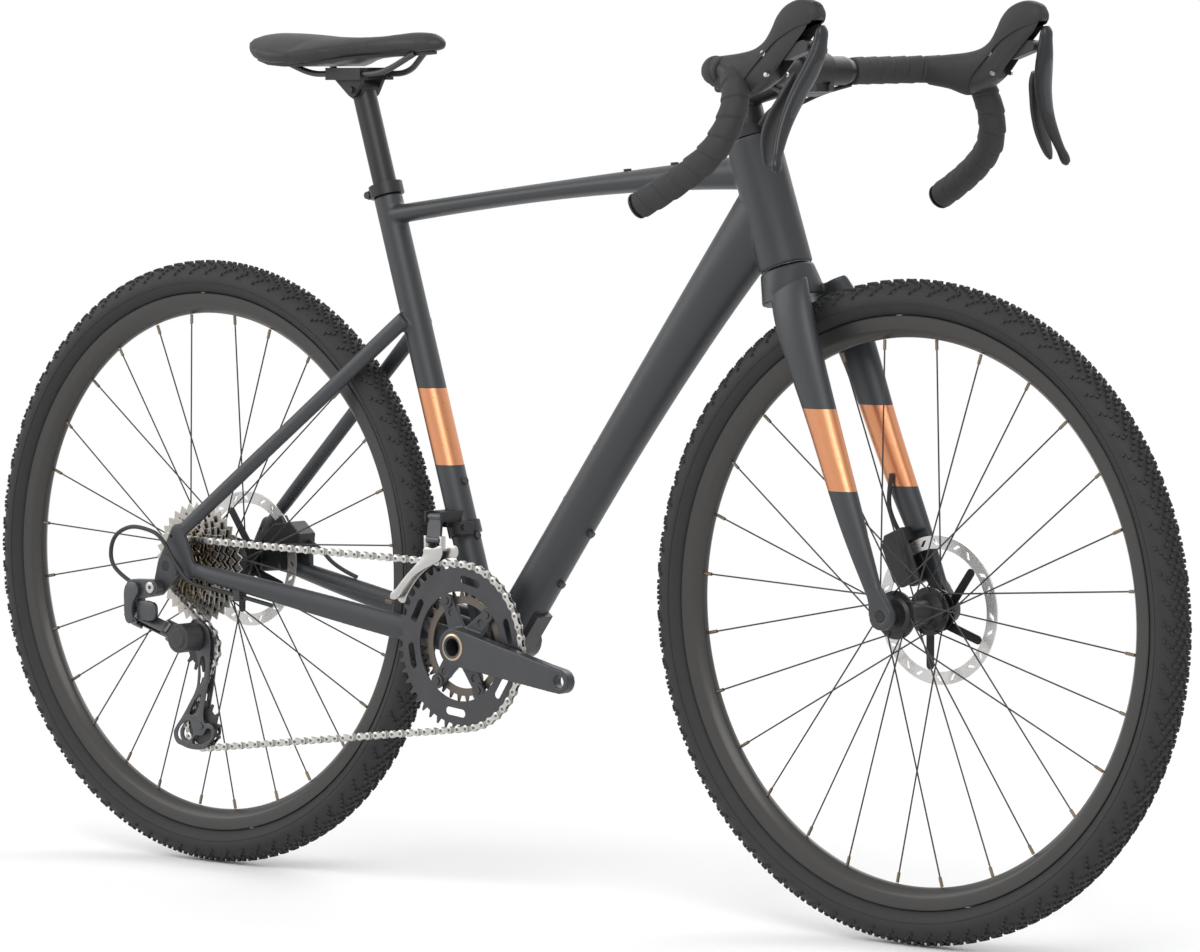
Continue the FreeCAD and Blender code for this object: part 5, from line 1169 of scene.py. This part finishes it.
def makeCord(name, body, diameter, controls):
    s = cordSettings
    places = [fromAxle(*point) for point in controls]
    curve = routeCurve(name, places, s["resolution"])
    curve.bevel_depth = diameter / 2000
    curve.bevel_resolution = s["sideSteps"]
    curve.use_fill_caps = True
    piece = bpy.data.objects.new(name, curve)
    replaced = "frame_cables" if body == "frame" else "front_cables"
    dress(piece, body, hosePlastic, (replaced,), "hose_black")
    length = curvePath(name + "_length", places, s["lengthPlaces"])[1]


for name, (body, diameter, *controls) in cordRoutes.items():
    makeCord(name, body, diameter, controls)
    if name.startswith("bar_cable"):
        makeCord(name + "_left", body, diameter, [(x, -y, z) for x, y, z in controls])
print("cords laid")

plateSettings = {"edge": 0.0003, "edgeSteps": 1, "steps": 8, "smooth": 35}


def cutPlate(name, base, outline, windows, low, high):  # flat plate with rounded edges and windows through it
    s = plateSettings
    curve = bpy.data.curves.new(name, "CURVE")
    curve.dimensions = "2D"
    curve.fill_mode = "BOTH"
    curve.resolution_u = s["steps"]
    curve.extrude = (high - low) / 2 - s["edge"]
    curve.bevel_depth = s["edge"]
    curve.bevel_resolution = s["edgeSteps"]
    for loop in (outline, *windows):
        spline = curve.splines.new("BEZIER")
        spline.bezier_points.add(len(loop) - 1)
        spline.use_cyclic_u = True
        for point, (x, z) in zip(spline.bezier_points, loop):
            point.co = (x / 1000, z / 1000, 0)
            point.handle_left_type = point.handle_right_type = "AUTO" if len(loop) > 4 else "VECTOR"
    source = bpy.data.objects.new(name, curve)
    scene.collection.objects.link(source)
    view = bpy.context.evaluated_depsgraph_get()
    mesh = bpy.data.meshes.new_from_object(source.evaluated_get(view))
    bpy.data.objects.remove(source)
    middle = (low + high) / 2
    points = np.array([(base[0] + v.co.x, middle + v.co.z, base[1] + v.co.y) for v in mesh.vertices])
    faces = [tuple(face.vertices) for face in mesh.polygons]
    bpy.data.meshes.remove(mesh)
    return points, faces


def arc(radius, turns, x=0.0, z=0.0):
    return [(x + radius * math.cos(a), z + radius * math.sin(a)) for a in turns]


cageSettings = {  # outlines in millimetres from the cage's pivot
    "pivot": (-0.498, 0.273), "plate": 0.0020, "below": 0.06, "outerIn": 0.001,
    "pin": 0.0024, "pinSides": 20, "pinOut": 0.0002,
    "bolt": 0.0046, "boltSides": 24, "boltOut": 0.0012, "boltIn": 0.0004,
    "shaft": 0.005, "shaftSides": 24, "shaftEnd": -0.080, "shaftIn": 0.0005,
    "outline": ((-3.1, 20.0), (10.9, 16.6), (18.9, 8.6), (22.7, -4.0), (22.6, -19.6), (20.4, -41.0),
                (16.1, -62.6), (11.9, -81.4), (10.8, -94.3), (12.9, -100.6), (21.7, -101.4), (27.7, -105.9),
                (27.6, -114.4), (21.5, -123.4), (11.4, -130.6), (-8.7, -132.7), (-24.8, -129.6),
                (-33.9, -126.0), (-37.8, -114.9), (-34.7, -108.9), (-24.5, -96.8), (-12.2, -80.2),
                (0.1, -60.9), (2.6, -49.3), (2.8, -28.0), (-0.5, -18.2), (-9.5, -13.4), (-12.0, 0.0),
                (-10.0, 13.0)),
    "windows": (((11.5, -21.7), (14.9, -25.8), (14.3, -42.9), (10.2, -53.1), (5.8, -55.5), (5.9, -46.3),
                 (6.8, -27.7)),
                ((7.0, -66.8), (7.6, -71.8), (0.8, -87.2), (-3.3, -91.0), (-11.3, -92.3), (-10.3, -87.2),
                 (0.0, -72.3)),
                ((-20.5, -101.5), (-10.4, -100.1), (-8.4, -105.6), (-5.5, -112.5), (-12.7, -123.0),
                 (-24.8, -123.9), (-31.8, -120.2), (-32.4, -114.5)),
                ((17.7, -106.6), (24.7, -109.0), (24.6, -114.7), (17.5, -122.3), (-4.6, -127.5),
                 (-7.6, -125.5), (-2.5, -116.6), (9.6, -115.0)))}


def makeCage():  # windowed plates of the rear derailleur's cage with its pivots
    s = cageSettings
    node = "rear_derailleur_cage"
    base = s["pivot"]
    points = nodePoints(node)
    sides = points[points[:, 2] < base[1] - s["below"], 1]
    outer, inner = sides.min() + s["outerIn"], sides.max()
    parts = []
    for low, high in ((outer, outer + s["plate"]), (inner - s["plate"], inner)):
        parts.append(cutPlate("cage_plate", base, s["outline"], s["windows"], low, high))
    pin = drum(outer - s["pinOut"], inner, s["pin"], s["pinSides"])
    bolt = drum(outer - s["boltOut"], outer + s["boltIn"], s["bolt"], s["boltSides"])
    for pulley in ("guide_pulley", "tension_pulley"):
        middle = middleOf(nodePoints(pulley)) * (1, 0, 1)
        parts += [shifted(pin, middle), shifted(bolt, middle)]
    shaft = drum(s["shaftEnd"], outer + s["shaftIn"], s["shaft"], s["shaftSides"])
    parts.append(shifted(shaft, (base[0], 0, base[1])))
    addOnNode(node, "_cut", joined(parts), greyAlloy, plateSettings["smooth"])


coverSettings = {  # outlines in millimetres from the rear wheel's line
    "link": ((-33.5, -43.5), (-26.0, -41.8), (-13.0, -42.4), (-6.0, -45.0), (-4.0, -52.0), (-6.0, -61.0),
             (-13.0, -64.0), (-24.0, -63.8), (-33.0, -63.5), (-34.5, -54.0)),
    "linkSides": (-0.0960, -0.0915),
    "knuckle": ((-50.4, -30.0), (-47.3, -23.5), (-38.5, -20.2), (-30.5, -23.0), (-28.4, -30.3),
                (-33.0, -38.0), (-37.5, -45.0), (-38.5, -56.0), (-37.0, -65.0), (-41.0, -68.5),
                (-47.5, -66.2), (-50.2, -58.0), (-50.8, -44.0)),
    "knuckleSides": (-0.1012, -0.0962),
    "bolt": (-10.0, -25.0), "boltRadii": (6.2, 2.7), "boltSteps": 12, "boltSides": (-0.0992, -0.0976)}


def makeCovers():  # covers on the rear derailleur's outer link and fixed knuckle, and the mounting bolt
    s = coverSettings
    base = (wheel["rear"].x, wheel["rear"].z)
    head, socket = (arc(radius, around(s["boltSteps"]), *s["bolt"]) for radius in s["boltRadii"])
    link, knuckle = "rear_derailleur_outer_link", "rear_derailleur_knuckle"
    for node, ending, outline, windows, sides, finish in (
            (link, "_cover", s["link"], (), s["linkSides"], greyAlloy),
            (knuckle, "_cover", s["knuckle"], (), s["knuckleSides"], greyAlloy),
            (knuckle, "_bolt", head, (socket,), s["boltSides"], silverAlloy)):
        form = cutPlate(node + ending, base, outline, windows, *sides)
        addOnNode(node, ending, form, finish, plateSettings["smooth"], replaced=False)


guideSettings = {  # outlines in millimetres from the crank's line
    "blade": ((-52.2, 107.8), (-36.9, 109.0), (-24.1, 111.4), (-23.6, 106.7), (-24.7, 101.7), (-28.1, 96.4),
              (-41.0, 90.3), (-59.8, 81.4), (-66.8, 77.4), (-80.8, 64.7), (-94.8, 49.3), (-99.8, 48.2),
              (-104.8, 49.9), (-94.7, 61.3), (-80.7, 75.2), (-66.7, 87.5), (-56.7, 96.7), (-52.6, 102.4)),
    "bladeSides": (-0.0547, -0.0533),
    "farRadii": (101.0, 112.5), "farTurns": (95, 154), "farSteps": 14, "farSides": (-0.0465, -0.0455),
    "bridges": (((-50, 104.5), (-27, 106.6), (-27, 109.0), (-50, 106.8)),
                ((-103.6, 50.2), (-95.6, 49.8), (-96.4, 53.0), (-101.8, 53.4))),
    "bridgeIn": (0.0006, 0.0002), "armStarts": (-59.2, -35.2), "armWide": 3.2, "armHeights": (96, 122),
    "armSides": (-0.0465, -0.0400), "pin": 0.002, "pinSides": 20, "pinPlace": (-0.044, 0.118)}  # side, height


def makeGuide():  # outer blade and inner plate of the front derailleur with the arms that carry them
    s = guideSettings
    base = (bottomBracket.x, bottomBracket.z)
    turns = np.radians(np.linspace(*s["farTurns"], s["farSteps"]))
    inside, outside = s["farRadii"]
    plates = [(s["blade"], s["bladeSides"]), (arc(outside, turns) + arc(inside, turns[::-1]), s["farSides"])]
    bridgeSides = (s["bladeSides"][0] + s["bridgeIn"][0], s["farSides"][1] - s["bridgeIn"][1])
    plates += [(outline, bridgeSides) for outline in s["bridges"]]
    low, high = s["armHeights"]
    for x in s["armStarts"]:
        end = x + s["armWide"]
        plates.append((((x, low), (end, low), (end, high), (x, high)), s["armSides"]))
    parts = [cutPlate("guide_plate", base, outline, (), *sides) for outline, sides in plates]
    side, height = s["pinPlace"]
    ends = (s["armStarts"][0], s["armStarts"][1] + s["armWide"])
    line = np.array([(base[0] + x / 1000, side, base[1] + height) for x in ends])
    parts.append(tube(line, (s["pin"], s["pin"]), s["pinSides"]))
    addOnNode("front_derailleur_cage", "_cut", joined(parts), silverAlloy, plateSettings["smooth"])


makeCage()
makeCovers()
makeGuide()
print("derailleur plates cut")

forgedForms = {  # voxel, smoothing rounds, share of the faces kept
    "frame": (0.0016, 8, 0.4), "fork": (0.0016, 8, 0.4),
    "crank_right": (0.0009, 6, 0.5), "crank_left": (0.0009, 6, 0.5), "stem": (0.0009, 4, 0.5),
    "front_caliper": (0.0008, 4, 0.6), "rear_caliper": (0.0008, 4, 0.6),
    "rear_derailleur_p_knuckle": (0.0006, 5, 0.5), "rear_derailleur_knuckle": (0.0006, 4, 0.5),
    "rear_derailleur_outer_link": (0.0005, 3, 0.5), "rear_derailleur_inner_link": (0.0005, 3, 0.5)}


def dressNode(name, ending, mesh):  # a reworked form of a node in the node's own finish
    piece = bpy.data.objects.new(name + ending, mesh)
    return dress(piece, frame["nodes"][name]["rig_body"], finishOf(name), (name,), slotOf(name))


def forged(name, voxel, rounds, share):  # the node's own form with its creases filled and its edges rounded
    piece = dressNode(name, "_formed", frame["nodes"][name].data.copy())
    remeshed(piece, voxel)
    applied(piece, "SMOOTH", factor=0.5, iterations=rounds)
    applied(piece, "DECIMATE", ratio=share)
    piece.data.shade_smooth()


for name, settings in forgedForms.items():
    forged(name, *settings)
print("forged and moulded forms rounded")

edgeSettings = {"width": 0.00035, "segments": 2, "flat": 0.8, "angle": 38, "smooth": 42, "weight": 100}


def softened(name):  # the node's own form with its edges broken as a machined part's are
    s = edgeSettings
    form = welded(frame["nodes"][name].data)
    flat = math.radians(s["flat"])
    bmesh.ops.dissolve_limit(form, angle_limit=flat, verts=form.verts, edges=form.edges)
    mesh = bpy.data.meshes.new(name + "_edged")
    form.to_mesh(mesh)
    form.free()
    piece = dressNode(name, "_edged", mesh)
    applied(piece, "BEVEL", width=s["width"], segments=s["segments"], limit_method="ANGLE",
            angle_limit=math.radians(s["angle"]), use_clamp_overlap=False, miter_outer="MITER_ARC")
    shaded(piece, s["smooth"])
    applied(piece, "WEIGHTED_NORMAL", weight=s["weight"], keep_sharp=True)


for name in frame["nodes"]:
    if name not in replacedNodes:
        softened(name)
print("edges broken")
